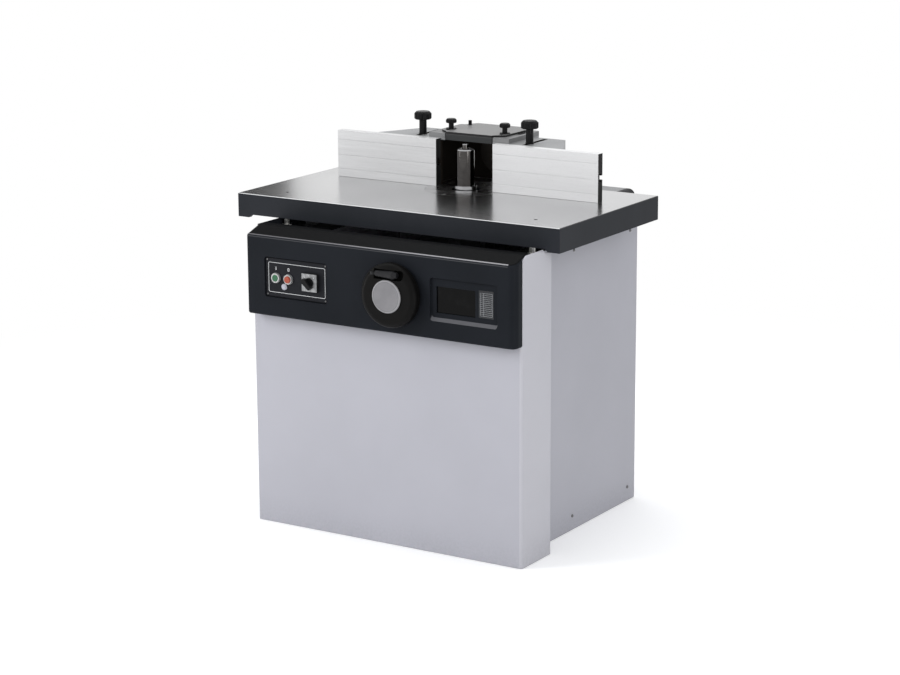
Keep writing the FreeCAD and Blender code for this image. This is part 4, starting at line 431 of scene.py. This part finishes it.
def hood_finish():
    """Silver paint outside, duller on the ledges above the fence, black on the walls that face the cutter."""
    finish = Finish("hood casting")
    x, y, z = finish.axes(finish.place())
    aside, over_duct = x.size(), z - DUCT_HEIGHT
    mouth_half, mouth_back = 112 * MM, 30 * MM
    chamber_half, chamber_front, chamber_back = 118.2 * MM, 26.2 * MM, 175.2 * MM
    duct_radius, duct_front, duct_back = 58 * MM, 174 * MM, 241.5 * MM
    slot_half, slot_front, slot_back = 7.2 * MM, 26 * MM, 143.5 * MM
    under_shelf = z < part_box("hood_cover")[0].z - 1.2 * MM
    upright = 1 - finish.facing()[2].size().ramp(0.4, 0.6)
    mouth = (aside < mouth_half) * (y < mouth_back) * under_shelf
    chamber = (aside < chamber_half) * y.within(chamber_front, chamber_back) * under_shelf
    duct = (x * x + over_duct * over_duct < duct_radius ** 2) * y.within(duct_front, duct_back)
    slot = ((aside - CLAMP_SIDE).size() < slot_half) * y.within(slot_front, slot_back) * upright
    inside = mouth.most(chamber).most(duct).most(slot)
    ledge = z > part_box("left_fence_plate")[1].z + 1 * MM
    sand = finish.noise(420.0, 4.0, 0.65)
    clouds = finish.noise(9.0, 4.0)
    normal, edge = finish.rounded(1.8 * MM)
    tone = (0.315, 0.319, 0.326)
    base = finish.vary(tone, clouds.ramp(0.3, 0.7), 0.93, 1.06)
    base = finish.mix(edge * sand.ramp(0.4, 0.7) * 0.5, base, shade(tone, 1.4))
    base = finish.mix(ledge, base, (0.22, 0.222, 0.225))
    base = finish.mix(inside, base, (0.018, 0.0145, 0.0120))
    return finish.surface(
        base=base,
        metallic=(1 - inside) * 0.5,
        roughness=0.4 + 0.12 * sand + 0.45 * inside,
        specular=0.05,
        normal=finish.bump(sand, 0.18 * MM, normal),
    )


def cover_finish():
    """Slate-grey folded sheet with a darker front lip, painted shade on its side edges for the gap under it,
    scuffed where it slides.
    """
    finish = Finish("hood cover sheet")
    z = finish.axes(finish.place())[2]
    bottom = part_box("hood_cover")[0].z
    lip = 1 - z.ramp(bottom + 15 * MM, bottom + 18 * MM)
    # Painted shade: the sheet's side edges are painted black for the shadow gap under the cover
    rim = (1 - finish.facing()[2].size().ramp(0.4, 0.6)) * (1 - lip)
    fine = finish.noise(150.0)
    grain = finish.noise(1400.0, 1.0)
    scuffs = finish.scratches(45.0, (1.0, 0.2, 1.0), 0.02)
    normal, edge = finish.rounded(1.0 * MM)
    worn = (edge * fine.ramp(0.35, 0.7) * 0.5).most(scuffs * 0.12)
    base = finish.vary((0.183, 0.182, 0.183), fine.ramp(0.3, 0.7), 0.93, 1.06)
    base = finish.mix(worn, base, (0.30, 0.305, 0.31))
    base = finish.mix(lip, base, (0.027, 0.029, 0.030))
    # Painted shade on the side edges
    base = finish.mix(rim, base, (0.010, 0.010, 0.011))
    return finish.surface(
        base=base,
        metallic=0.2,
        roughness=0.38 + 0.12 * fine,
        specular=0.35,
        normal=finish.bump(grain, 0.03 * MM, normal),
    )


def arbor_finish():
    """Polished steel, its body painted dark as a painted reflection of the black chamber round it, with the
    clamping flange and the end face left bright.
    """
    finish = Finish("arbor steel")
    z = finish.axes(finish.place())[2]
    flange_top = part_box("table")[1].z + ARBOR_SEAT
    flange = z.within(flange_top - 20 * MM, flange_top + 0.3 * MM)
    bright = flange.most(finish.facing()[2].ramp(0.5, 0.8))
    turning = finish.noise(500.0, 3.0, 0.6, (0.1, 0.1, 1.0))
    oil = finish.noise(22.0, 4.0)
    normal, edge = finish.rounded(0.6 * MM)
    # Painted reflection: the body's dark tone stands in for the black chamber that it mirrors
    base = finish.mix(turning.ramp(0.3, 0.7), (0.066, 0.062, 0.060), (0.086, 0.082, 0.079))
    base = finish.mix(oil.ramp(0.5, 0.75) * 0.5, base, (0.042, 0.039, 0.037))
    base = finish.mix(bright.most(edge * 0.6), base, (0.52, 0.52, 0.53))
    return finish.surface(
        base=base,
        metallic=1.0,
        roughness=0.08 + 0.05 * turning + 0.12 * bright,
        normal=finish.bump(turning, 0.005 * MM, normal),
    )


def cap_finish():
    """Satin silver cap of the handwheel, pressed all over with small dots inside a turned rim."""
    finish = Finish("cap silver")
    x, _, z = finish.axes(finish.place())
    low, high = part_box("handwheel_cap")
    rim, groove_middle, dots_edge, dots_apart = 4 * MM, 5 * MM, 6.5 * MM, 3.4 * MM
    across, rise = x - WHEEL[0], z - WHEEL[1]
    from_edge = (high.x - low.x) / 2 - (across * across + rise * rise).root()
    groove = 1 - (from_edge - groove_middle).size().ramp(0.4 * MM, 1.2 * MM)
    pitch = math.tau / dots_apart
    dots = ((across * pitch).wave() * (rise * pitch).wave()).ramp(0.15, 0.6) * (from_edge > dots_edge)
    wear = finish.noise(26.0, 4.0)
    normal, edge = finish.rounded(0.8 * MM)
    pressed = (0.09, 0.09, 0.093)
    base = finish.mix(wear.ramp(0.3, 0.7), (0.20, 0.196, 0.208), (0.24, 0.236, 0.248))
    base = finish.mix(dots * 0.7, base, pressed)
    base = finish.mix((edge * 0.5).most((from_edge < rim) * 0.3), base, (0.45, 0.45, 0.46))
    base = finish.mix(groove * 0.6, base, pressed)
    return finish.surface(
        base=base,
        metallic=0.5,
        roughness=0.38 + 0.12 * wear,
        normal=finish.bump(dots + groove, 0.1 * MM, normal),
    )


def switch_finish():
    """Grey face of the rotary switch, black on its sides."""
    finish = Finish("switch grey")
    face = (finish.facing()[1] * -1).ramp(0.6, 0.8)
    rubs = finish.noise(90.0, 4.0)
    normal, _ = finish.rounded(0.6 * MM)
    base = finish.mix(rubs.ramp(0.35, 0.65), (0.22, 0.222, 0.228), (0.36, 0.362, 0.368))
    base = finish.mix(face, (0.012, 0.012, 0.013), base)
    return finish.surface(
        base=base,
        metallic=0.3 * face,
        roughness=0.38 + 0.14 * rubs,
        specular=0.2,
        normal=finish.bump(rubs, 0.03 * MM, normal),
    )


def glass_finish():
    """Smoked window: mostly dark, with a faint haze of dust."""
    finish = Finish("window glass")
    haze = finish.noise(35.0, 4.0)
    normal, _ = finish.rounded(0.6 * MM)
    base = finish.mix(haze.ramp(0.5, 0.8) * 0.15, (0.0015, 0.0015, 0.0016), (0.02, 0.0205, 0.021))
    return finish.surface(base=base, roughness=0.05 + 0.1 * haze, specular=0.12, normal=normal)


def lens_finish(name, tone, roughness):
    """A moulded lens or button cap: clear coat over colour, faint swirl, worn rim."""
    finish = Finish(name)
    swirl = finish.noise(120.0)
    normal, edge = finish.rounded(0.5 * MM)
    worn = tuple(0.2 + 0.8 * channel for channel in tone)
    base = finish.vary(tone, swirl.ramp(0.3, 0.7), 0.88, 1.1)
    base = finish.mix(edge * 0.2, base, worn)
    return finish.surface(
        base=base,
        roughness=roughness + 0.08 * swirl,
        coat=0.1,
        coat_roughness=0.1,
        normal=finish.bump(swirl, 0.02 * MM, normal),
    )


def rubber_finish():
    """Belt rubber: a fine weave, paler along the edges."""
    finish = Finish("belt rubber")
    weave = finish.noise(900.0, 2.0, 0.5, (1.0, 1.0, 0.2))
    normal, edge = finish.rounded(0.5 * MM)
    base = finish.mix(weave.ramp(0.3, 0.7), (0.012, 0.012, 0.012), (0.028, 0.028, 0.028))
    base = finish.mix(edge * 0.3, base, (0.06, 0.06, 0.06))
    return finish.surface(
        base=base,
        roughness=0.7 + 0.1 * weave,
        normal=finish.bump(weave, 0.06 * MM, normal),
    )


def printed(name, tone):
    """Screen-printed marking: slightly uneven ink."""
    finish = Finish(name)
    ink = finish.noise(600.0)
    base = finish.vary(tone, ink.ramp(0.35, 0.7), 0.86, 1.0)
    return finish.surface(base=base, roughness=0.5 + 0.1 * ink, normal=finish.bump(ink, 0.01 * MM))


FINISHES = {
    "table": table_finish(),
    "ring": turned_metal("ring steel", (0.49, 0.491, 0.496), 0.22, AXIS_Z, SPINDLE, oil=0.25),
    "zinc": drawn_metal("zinc plating", (0.52, 0.52, 0.50), 0.38, EVEN, lines=0.3),
    "bolt": drawn_metal("bolt steel", (0.20, 0.20, 0.20), 0.34, (1.0, 1.0, 0.1), lines=0.3),
    "rail": drawn_metal("rail anodised", (0.24, 0.243, 0.25), 0.42, ALONG_X, metallic=0.5),
    "black": moulded_plastic("black plastic", (0.012, 0.012, 0.0135), 0.5, specular=0.2),
    "cabinet": powder_coat("cabinet grey", (0.405, 0.404, 0.446), 0.46),
    # Painted light: the column takes a lighter copy of the cabinet's grey for the light that falls on it
    "column": powder_coat("column lit grey", (0.49, 0.486, 0.525), 0.46),
    "panel": panel_finish(),
    "frame": powder_coat("frame black", (0.02, 0.021, 0.023), 0.5),
    "glass": glass_finish(),
    "plate": moulded_plastic("plate charcoal", (0.0125, 0.013, 0.016), 0.44, 0.02 * MM, 0.08),
    "wheel": moulded_plastic("wheel black", (0.0042, 0.0040, 0.0039), 0.42, specular=0.07),
    "box": moulded_plastic("box grey", (0.3, 0.31, 0.33), 0.55),
    "chrome": turned_metal("bezel chrome", (0.46, 0.46, 0.46), 0.34, AXIS_Y, START, metallic=0.7),
    "green": lens_finish("start green", (0.007, 0.095, 0.035), 0.34),
    "red": lens_finish("stop red", (0.31, 0.04, 0.012), 0.34),
    "lamp": lens_finish("lamp white", (0.40, 0.40, 0.46), 0.3),
    "switch": switch_finish(),
    "chart": moulded_plastic("chart plate", (0.035, 0.036, 0.039), 0.42, 0.01 * MM, 0.15),
    "knob": moulded_plastic("knob black", (0.005, 0.005, 0.0055), 0.36, 0.02 * MM, 0.14),
    "cap": cap_finish(),
    "gearbox": cast_paint("gearbox iron", (0.13, 0.145, 0.16), 0.5),
    "bronze": turned_metal("bush bronze", (0.55, 0.36, 0.15), 0.34, AXIS_Y, WHEEL, oil=0.3),
    "nut bronze": turned_metal("nut bronze", (0.55, 0.36, 0.15), 0.34, AXIS_Z, SCREW, oil=0.4),
    "shaft": turned_metal("shaft steel", (0.55, 0.55, 0.56), 0.3, AXIS_Y, WHEEL, oil=0.3),
    "screw": turned_metal("screw steel", (0.50, 0.50, 0.51), 0.32, AXIS_Z, SCREW, 4 * MM, oil=0.5),
    "guide": turned_metal("guide steel", (0.58, 0.58, 0.60), 0.24, AXIS_Z, SPINDLE, oil=0.3),
    "carriage": cast_paint("carriage iron", (0.11, 0.118, 0.128), 0.52),
    "motor": cast_paint("motor paint", (0.12, 0.16, 0.19), 0.48, 0.12 * MM),
    "pulley": turned_metal("pulley aluminium", (0.56, 0.57, 0.58), 0.34, AXIS_Z, SPINDLE, oil=0.3),
    "rotor": turned_metal("rotor aluminium", (0.56, 0.57, 0.58), 0.34, AXIS_Z, MOTOR, oil=0.3),
    "belt": rubber_finish(),
    "arbor": arbor_finish(),
    "fence": fence_finish(),
    "hood": hood_finish(),
    "cover": cover_finish(),
    "white print": printed("white print", (0.74, 0.75, 0.76)),
    "grey print": printed("grey print", (0.42, 0.43, 0.45)),
}

FINISH_OF = {
    "table": "table",
    "outer_ring": "ring",
    "inner_ring": "ring",
    "ring_screws": "zinc",
    "rear_rail": "rail",
    "rail_end_caps": "black",
    "jack_bolts": "zinc",
    "base_frame": "frame",
    "front_panel": "cabinet",
    "right_side_panel": "cabinet",
    "left_side_panel": "cabinet",
    "rear_panel": "cabinet",
    "right_column": "column",
    "top_frame": "frame",
    "door_hinges": "zinc",
    "dust_outlet": "frame",
    "control_panel": "panel",
    "window_pane": "glass",
    "control_plate": "plate",
    "switch_box": "box",
    "button_bezels": "chrome",
    "signal_lamp": "lamp",
    "switch_plate": "switch",
    "handwheel_bush": "bronze",
    "lift_gearbox": "gearbox",
    "gearbox_bracket": "frame",
    "guide_columns": "guide",
    "column_yoke": "frame",
    "rear_door": "cabinet",
    "door_pull": "black",
    "start_button": "green",
    "stop_button": "red",
    "switch_knob": "knob",
    "handwheel": "wheel",
    "handwheel_cap": "cap",
    "handwheel_shaft": "shaft",
    "handle_pin": "zinc",
    "folding_handle": "black",
    "lift_screw": "screw",
    "spindle_carriage": "carriage",
    "lift_nut": "nut bronze",
    "spindle_bearings": "guide",
    "motor_plate": "frame",
    "motor": "motor",
    "drive_belt": "belt",
    "spindle_arbor": "arbor",
    "spindle_pulley": "pulley",
    "arbor_cap_screw": "arbor",
    "motor_pulley": "rotor",
    "fence_hood": "hood",
    "plate_bolts": "zinc",
    "hood_cover": "cover",
    "cover_stud": "knob",
    "left_fence_plate": "fence",
    "right_fence_plate": "fence",
    "left_clamp_knob": "knob",
    "right_clamp_knob": "knob",
    "left_cover_knob": "knob",
    "right_cover_knob": "knob",
}

for node_name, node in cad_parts.items():
    node.data.materials.clear()
    node.data.materials.append(FINISHES[FINISH_OF[node_name]])


# Printing, thin plates and small screws

FRONT, BACK, LEFT, RIGHT = (0, -1, 0), (0, 1, 0), (-1, 0, 0), (1, 0, 0)
ROUND_STEPS = 32
ROUND_TURNS = [math.tau * step / ROUND_STEPS for step in range(ROUND_STEPS)]

# Radius and height of each kind of screw's head
PLATE_SCREW = (2.4 * MM, 1.2 * MM)
PANEL_SCREW = (4.5 * MM, 2.6 * MM)
FLANGE_SCREW = (3.6 * MM, 2.2 * MM)
HINGE_SCREW = (3.2 * MM, 1.6 * MM)

# A head from its seat to the flat round its socket, as shares of its radius and height
HEAD_PROFILE = ((1.0, 0.0), (1.0, 0.45), (0.93, 0.75), (0.74, 1.0))
SOCKET_SHARE = 0.5
SOCKET_TAPER = 0.96
SOCKET_FLOOR = 0.25

# Steps round each corner of a plate and of a printed loop
PLATE_STEPS = 6
LOOP_STEPS = 8

# How far ink reaches into the plate that it is printed on, and how near two points are one
INK_SUNK = 0.05 * MM
SAME_POINT = 1e-7


def make_object(name, shape, finish):
    """Turn a shape into an object with one finish."""
    mesh = bpy.data.meshes.new(name)
    shape.to_mesh(mesh)
    shape.free()
    mesh.materials.append(finish)
    item = bpy.data.objects.new(name, mesh)
    bpy.context.scene.collection.objects.link(item)
    return item


def piece(name, shape, finish, body):
    """Turn a shape into a piece that moves with a body."""
    bmesh.ops.recalc_face_normals(shape, faces=shape.faces)
    item = make_object(name, shape, FINISHES[finish])
    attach(item, body)


def skin(shape, rings, closed=True):
    """Faces between rings of points, with a cap on each end if it is closed."""
    rows = [[shape.verts.new(point) for point in ring] for ring in rings]
    count = len(rows[0])
    for low, high in zip(rows, rows[1:]):
        for step in range(count):
            after = (step + 1) % count
            shape.faces.new((low[step], low[after], high[after], high[step]))
    if closed:
        shape.faces.new(rows[0])
        shape.faces.new(rows[-1])


def facing_frame(centre, direction):
    """A frame whose Z points along a direction from a centre."""
    turn = Vector((0, 0, 1)).rotation_difference(Vector(direction))
    return Matrix.Translation(centre) @ turn.to_matrix().to_4x4()


def circle(radius, height):
    return [Vector((radius * math.cos(turn), radius * math.sin(turn), height)) for turn in ROUND_TURNS]


def hexagon(apothem, height):
    """Points on a hexagon, as many as on the circles round it."""
    points = []
    for turn in ROUND_TURNS:
        reach = apothem / math.cos(turn % (math.pi / 3) - math.pi / 6)
        points.append(Vector((reach * math.cos(turn), reach * math.sin(turn), height)))
    return points


def add_screw(shape, centre, direction, radius, height):
    """A round-headed socket screw standing on a surface."""
    seat = facing_frame(centre, direction)
    socket = radius * SOCKET_SHARE
    rings = [circle(radius * width, height * rise) for width, rise in HEAD_PROFILE]
    rings += [hexagon(socket, height), hexagon(socket * SOCKET_TAPER, height * SOCKET_FLOOR)]
    skin(shape, [[seat @ point for point in ring] for ring in rings])


def rounded_outline(low, high, corner, inset, y, steps):
    """Points at one depth, set in from an upright rectangle with rounded corners."""
    left, right = low[0] + corner, high[0] - corner
    bottom, top = low[1] + corner, high[1] - corner
    reach = corner - inset
    points = []
    for quarter, (x, z) in enumerate(((right, top), (left, top), (left, bottom), (right, bottom))):
        for step in range(steps + 1):
            turn = math.tau * (0.25 * quarter + 0.25 * step / steps)
            points.append(Vector((x + reach * math.cos(turn), y, z + reach * math.sin(turn))))
    return points


def add_slab(shape, low, high, corner, front, back):
    """An upright plate with rounded corners."""
    skin(shape, [rounded_outline(low, high, corner, 0.0, y, PLATE_STEPS) for y in (front, back)])


def add_loop(shape, low, high, corner, width, front, back):
    """A rounded rectangular line of ink on an upright plate."""
    section = ((0.0, back), (0.0, front), (width, front), (width, back), (0.0, back))
    rings = [rounded_outline(low, high, corner, inset, y, LOOP_STEPS) for inset, y in section]
    skin(shape, rings, closed=False)
    bmesh.ops.remove_doubles(shape, verts=shape.verts, dist=SAME_POINT)


def control_marks():
    """The white outline and the plain I and 0 over the buttons."""
    low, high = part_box("control_plate")
    front, back = low.y - 0.25 * MM, low.y + INK_SUNK
    outline_low = (low.x + 8 * MM, low.z + 11 * MM)
    outline_high = (high.x - 5 * MM, high.z - 11 * MM)
    outline_corner, outline_width = 4.5 * MM, 1.1 * MM
    shape = bmesh.new()
    add_loop(shape, outline_low, outline_high, outline_corner, outline_width, front, back)
    start = sum(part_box("start_button"), Vector()) / 2
    stop = sum(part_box("stop_button"), Vector()) / 2
    over_button, half_height = 26 * MM, 4.5 * MM
    bottom = start.z + over_button - half_height
    top = start.z + over_button + half_height
    one_half, one_corner = 0.8 * MM, 0.3 * MM
    add_slab(shape, (start.x - one_half, bottom), (start.x + one_half, top), one_corner, front, back)
    nought_half, nought_width = 3 * MM, 1.4 * MM
    nought_low, nought_high = (stop.x - nought_half, bottom), (stop.x + nought_half, top)
    add_loop(shape, nought_low, nought_high, nought_half, nought_width, front, back)
    piece("control_marks", shape, "white print", "cabinet")


def switch_ticks():
    """Three short ticks over the rotary switch."""
    low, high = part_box("switch_plate")
    middle = (low + high) / 2
    half, inner, outer = 0.7 * MM, 19.2 * MM, 22.8 * MM
    corners = ((-half, inner), (half, inner), (half, outer), (-half, outer))
    shape = bmesh.new()
    for turn in (-45, 0, 45):
        seat = Matrix.Translation((middle.x, low.y, middle.z)) @ Matrix.Rotation(math.radians(turn), 4, "Y")
        skin(shape, [[seat @ Vector((x, y, z)) for x, z in corners] for y in (INK_SUNK, -0.2 * MM)])
    piece("switch_ticks", shape, "white print", "cabinet")


def control_screws():
    """A screw in each corner of the control plate."""
    low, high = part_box("control_plate")
    inset = 4.5 * MM
    shape = bmesh.new()
    for x in (low.x + inset, high.x - inset):
        for z in (low.z + inset, high.z - inset):
            add_screw(shape, (x, low.y, z), FRONT, *PLATE_SCREW)
    piece("control_screws", shape, "bolt", "cabinet")


def add_panel_screws(shape):
    """Three columns of screws on the rear panel, broken where the door lies."""
    low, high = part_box("rear_panel")
    door_low, door_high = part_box("rear_door")
    inset = 14 * MM
    heights = (30 * MM, 290 * MM, 550 * MM, high.z - inset)
    for x in (low.x + inset, (low.x + high.x) / 2, high.x - inset):
        for z in heights:
            on_door = door_low.x < x < door_high.x and door_low.z < z < door_high.z
            if not on_door:
                add_screw(shape, (x, high.y, z), BACK, *PANEL_SCREW)


def add_outlet_screws(shape):
    """A ring of screws on the dust outlet's flange."""
    low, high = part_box("dust_outlet")
    centre = (low + high) / 2
    count, reach, flange = 6, 68 * MM, 3 * MM
    for step in range(count):
        turn = math.tau * (step + 0.5) / count
        spot = (centre.x + reach * math.cos(turn), low.y + flange, centre.z + reach * math.sin(turn))
        add_screw(shape, spot, BACK, *FLANGE_SCREW)


def add_hinge_screws(shape):
    """Two screws in the cabinet's leaf of each hinge."""
    low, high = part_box("door_hinges")
    hinge_height, leaf, inset = 80 * MM, 3 * MM, 9.5 * MM
    for foot in (low.z, high.z - hinge_height):
        for rise in (10 * MM, 30 * MM):
            add_screw(shape, (low.x + inset, low.y + leaf, foot + rise), BACK, *HINGE_SCREW)


def rear_screws():
    shape = bmesh.new()
    add_panel_screws(shape)
    add_outlet_screws(shape)
    add_hinge_screws(shape)
    piece("rear_screws", shape, "bolt", "cabinet")


def side_screws():
    """Two rows of screws on each side of the cabinet; the column takes the right side's front ones."""
    foot, below_top, inset = 40 * MM, 25 * MM, 40 * MM
    shape = bmesh.new()
    low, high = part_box("left_side_panel")
    for z in (foot, high.z - below_top):
        for y in (low.y + inset, (low.y + high.y) / 2, high.y - inset):
            add_screw(shape, (low.x, y, z), LEFT, *PANEL_SCREW)
    low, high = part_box("right_side_panel")
    for z in (foot, high.z - below_top):
        for y in ((low.y + high.y) / 2, high.y - inset):
            add_screw(shape, (high.x, y, z), RIGHT, *PANEL_SCREW)
    piece("side_screws", shape, "bolt", "cabinet")


def chart_plate():
    """A bare plate with ruled lines beside the window."""
    pane_low, pane_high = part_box("window_pane")
    back = pane_low.y - 4 * MM
    face = back - 0.8 * MM
    left, bottom = pane_high.x + 3 * MM, pane_low.z + 10 * MM
    right, top = left + 44 * MM, pane_high.z - 4 * MM
    shape = bmesh.new()
    add_slab(shape, (left, bottom), (right, top), 2 * MM, face, back)
    piece("chart_plate", shape, "chart", "cabinet")

    rows, row_height, line, line_corner = 13, 5 * MM, 0.5 * MM, 0.1 * MM
    ink = face - 0.15 * MM
    first_x, split_x, last_x = left + 4 * MM, left + 14 * MM, left + 40 * MM
    first_z = bottom + row_height
    last_z = first_z + (rows - 1) * row_height
    shape = bmesh.new()
    for row in range(rows):
        z = first_z + row * row_height
        add_slab(shape, (first_x, z), (last_x, z + line), line_corner, ink, face)
    for x in (first_x, split_x, last_x):
        add_slab(shape, (x, first_z), (x + line, last_z + line), line_corner, ink, face)
    piece("chart_lines", shape, "grey print", "cabinet")


control_marks()
switch_ticks()
control_screws()
rear_screws()
side_screws()
chart_plate()


# Studio

# The floor: half its width, its drop under the feet, the glow that lifts its shadow, and the distances
# between which it fades to white
FLOOR_HALF = 14.0
FLOOR_DROP = 1 * MM
FLOOR_LIFT = 0.18
FLOOR_NEAR = 0.9
FLOOR_FAR = 2.6

AMBIENT = (0.96, 0.98, 1.0, 1.0)
AMBIENT_STRENGTH = 0.55
MACHINE_MIDDLE = (0.0, -0.1, 0.55)
PHOTO_PLACE = (3.6475, -5.9017, 2.1328)
PHOTO_LENS = 101.22
STRIP_SPAN = (0.05, 0.84)


def seen_directly(finish):
    """1 for what is seen straight, in metal or through glass, 0 for light that falls on the machine."""
    path = finish.add("ShaderNodeLightPath")
    names = ("Is Camera Ray", "Is Glossy Ray", "Is Transmission Ray")
    camera, glossy, through = (Value(finish, path.outputs[name]) for name in names)
    return camera.most(glossy).most(through)


def floor_finish():
    """Pale floor: grey in the machine's shadow, and white far off, where it meets the background."""
    finish = Finish("floor white")
    x, y, _ = finish.axes(finish.place())
    far = (x * x + y * y).root().ramp(FLOOR_NEAR, FLOOR_FAR)
    base = finish.mix(finish.noise(2.0, 2.0), (0.90, 0.90, 0.905), (0.93, 0.93, 0.935))
    paint = finish.node("ShaderNodeBsdfDiffuse", None, {"Color": base})
    lifted = finish.node("ShaderNodeAddShader", None, (paint, finish.glow(FLOOR_LIFT)))
    looks = finish.node("ShaderNodeMixShader", None, (far, lifted, finish.glow(1.0)))
    return finish.close(finish.node("ShaderNodeMixShader", None, (seen_directly(finish), paint, looks)))


def build_sheet(name, corners, finish):
    """One flat face that belongs to the studio."""
    shape = bmesh.new()
    shape.faces.new([shape.verts.new(corner) for corner in corners])
    sheet = make_object(name, shape, finish)
    return sheet


def build_floor():
    """A wide floor just under the machine's feet."""
    sides = ((-1, -1), (1, -1), (1, 1), (-1, 1))
    corners = [(x * FLOOR_HALF, y * FLOOR_HALF, 0.0) for x, y in sides]
    floor = build_sheet("floor", corners, floor_finish())
    floor.location.z = -FLOOR_DROP


def build_world():
    """A background that looks white and lights the machine less, with a cool tint."""
    world = bpy.data.worlds.new("studio")
    bpy.context.scene.world = world
    finish = Finish("studio", world)
    white = finish.node("ShaderNodeBackground", None, {"Color": WHITE, "Strength": 1.0})
    sockets = {"Color": AMBIENT, "Strength": AMBIENT_STRENGTH}
    ambient = finish.node("ShaderNodeBackground", None, sockets)
    finish.close(finish.node("ShaderNodeMixShader", None, (seen_directly(finish), ambient, white)))


def card_finish(name, strength):
    finish = Finish(name)
    return finish.close(finish.glow(strength))


def build_card(name, middle, half_width, span, finish, faces=PHOTO_PLACE):
    """An upright card, itself unseen, that only shows in polished metal; it faces the camera if not told."""
    toward = Vector(faces).xy - Vector(middle)
    across = Vector((-toward.y, toward.x, 0.0)).normalized() * half_width
    low, high = span
    ends = ((-1, low), (1, low), (1, high), (-1, high))
    corners = [Vector((*middle, height)) + across * side for side, height in ends]
    card = build_sheet(name, corners, finish)
    card.visible_camera = False
    card.visible_diffuse = False
    card.visible_shadow = False


def build_cards():
    """A grey card for the table's left end, low strips for the front and a soft white one for the fence."""
    strip = card_finish("strip white", 11.0)
    build_card("grey card", (-3.1, 1.34), 1.26, (1.0, 2.8), card_finish("card grey", 0.08))
    build_card("left strip", (-1.62, -1.49), 0.3, STRIP_SPAN, strip)
    build_card("right strip", (2.1, -1.2), 0.14, STRIP_SPAN, strip)
    build_card("fence card", (-2.6, -4.1), 2.2, (0.3, 3.4), card_finish("card white", 1.2), SPINDLE)


def build_lamp(name, place, side, watts):
    """A softbox that lights but isn't mirrored, so that metal shows the white studio and not its patch."""
    data = bpy.data.lights.new(name, "AREA")
    data.size = side
    data.energy = watts
    lamp = bpy.data.objects.new(name, data)
    bpy.context.scene.collection.objects.link(lamp)
    lamp.location = place
    lamp.rotation_euler = (Vector(MACHINE_MIDDLE) - Vector(place)).to_track_quat("-Z", "Y").to_euler()
    lamp.visible_glossy = False


def build_camera():
    """The photograph's viewpoint, solved from the table's edges."""
    data = bpy.data.cameras.new("photo view")
    data.sensor_width = 36.0
    data.lens = PHOTO_LENS
    data.clip_end = 100.0
    camera = bpy.data.objects.new("photo view", data)
    bpy.context.scene.collection.objects.link(camera)
    right = Vector((0.847799, 0.530295, -0.005090))
    up = Vector((-0.119782, 0.200832, 0.972276))
    ahead = Vector((-0.516615, 0.823683, -0.233785))
    turn = Matrix((right, up, -ahead)).transposed().to_4x4()
    camera.matrix_world = Matrix.Translation(PHOTO_PLACE) @ turn
    bpy.context.scene.camera = camera


build_floor()
build_cards()
build_world()
build_lamp("key softbox", (-3.4, -3.4, 3.0), 2.4, 150.0)
build_lamp("fill softbox", (3.6, -2.8, 2.4), 2.4, 54.0)
build_lamp("top softbox", (0.0, 0.6, 4.2), 3.0, 90.0)
build_camera()
bpy.context.scene.view_settings.view_transform = "Standard"
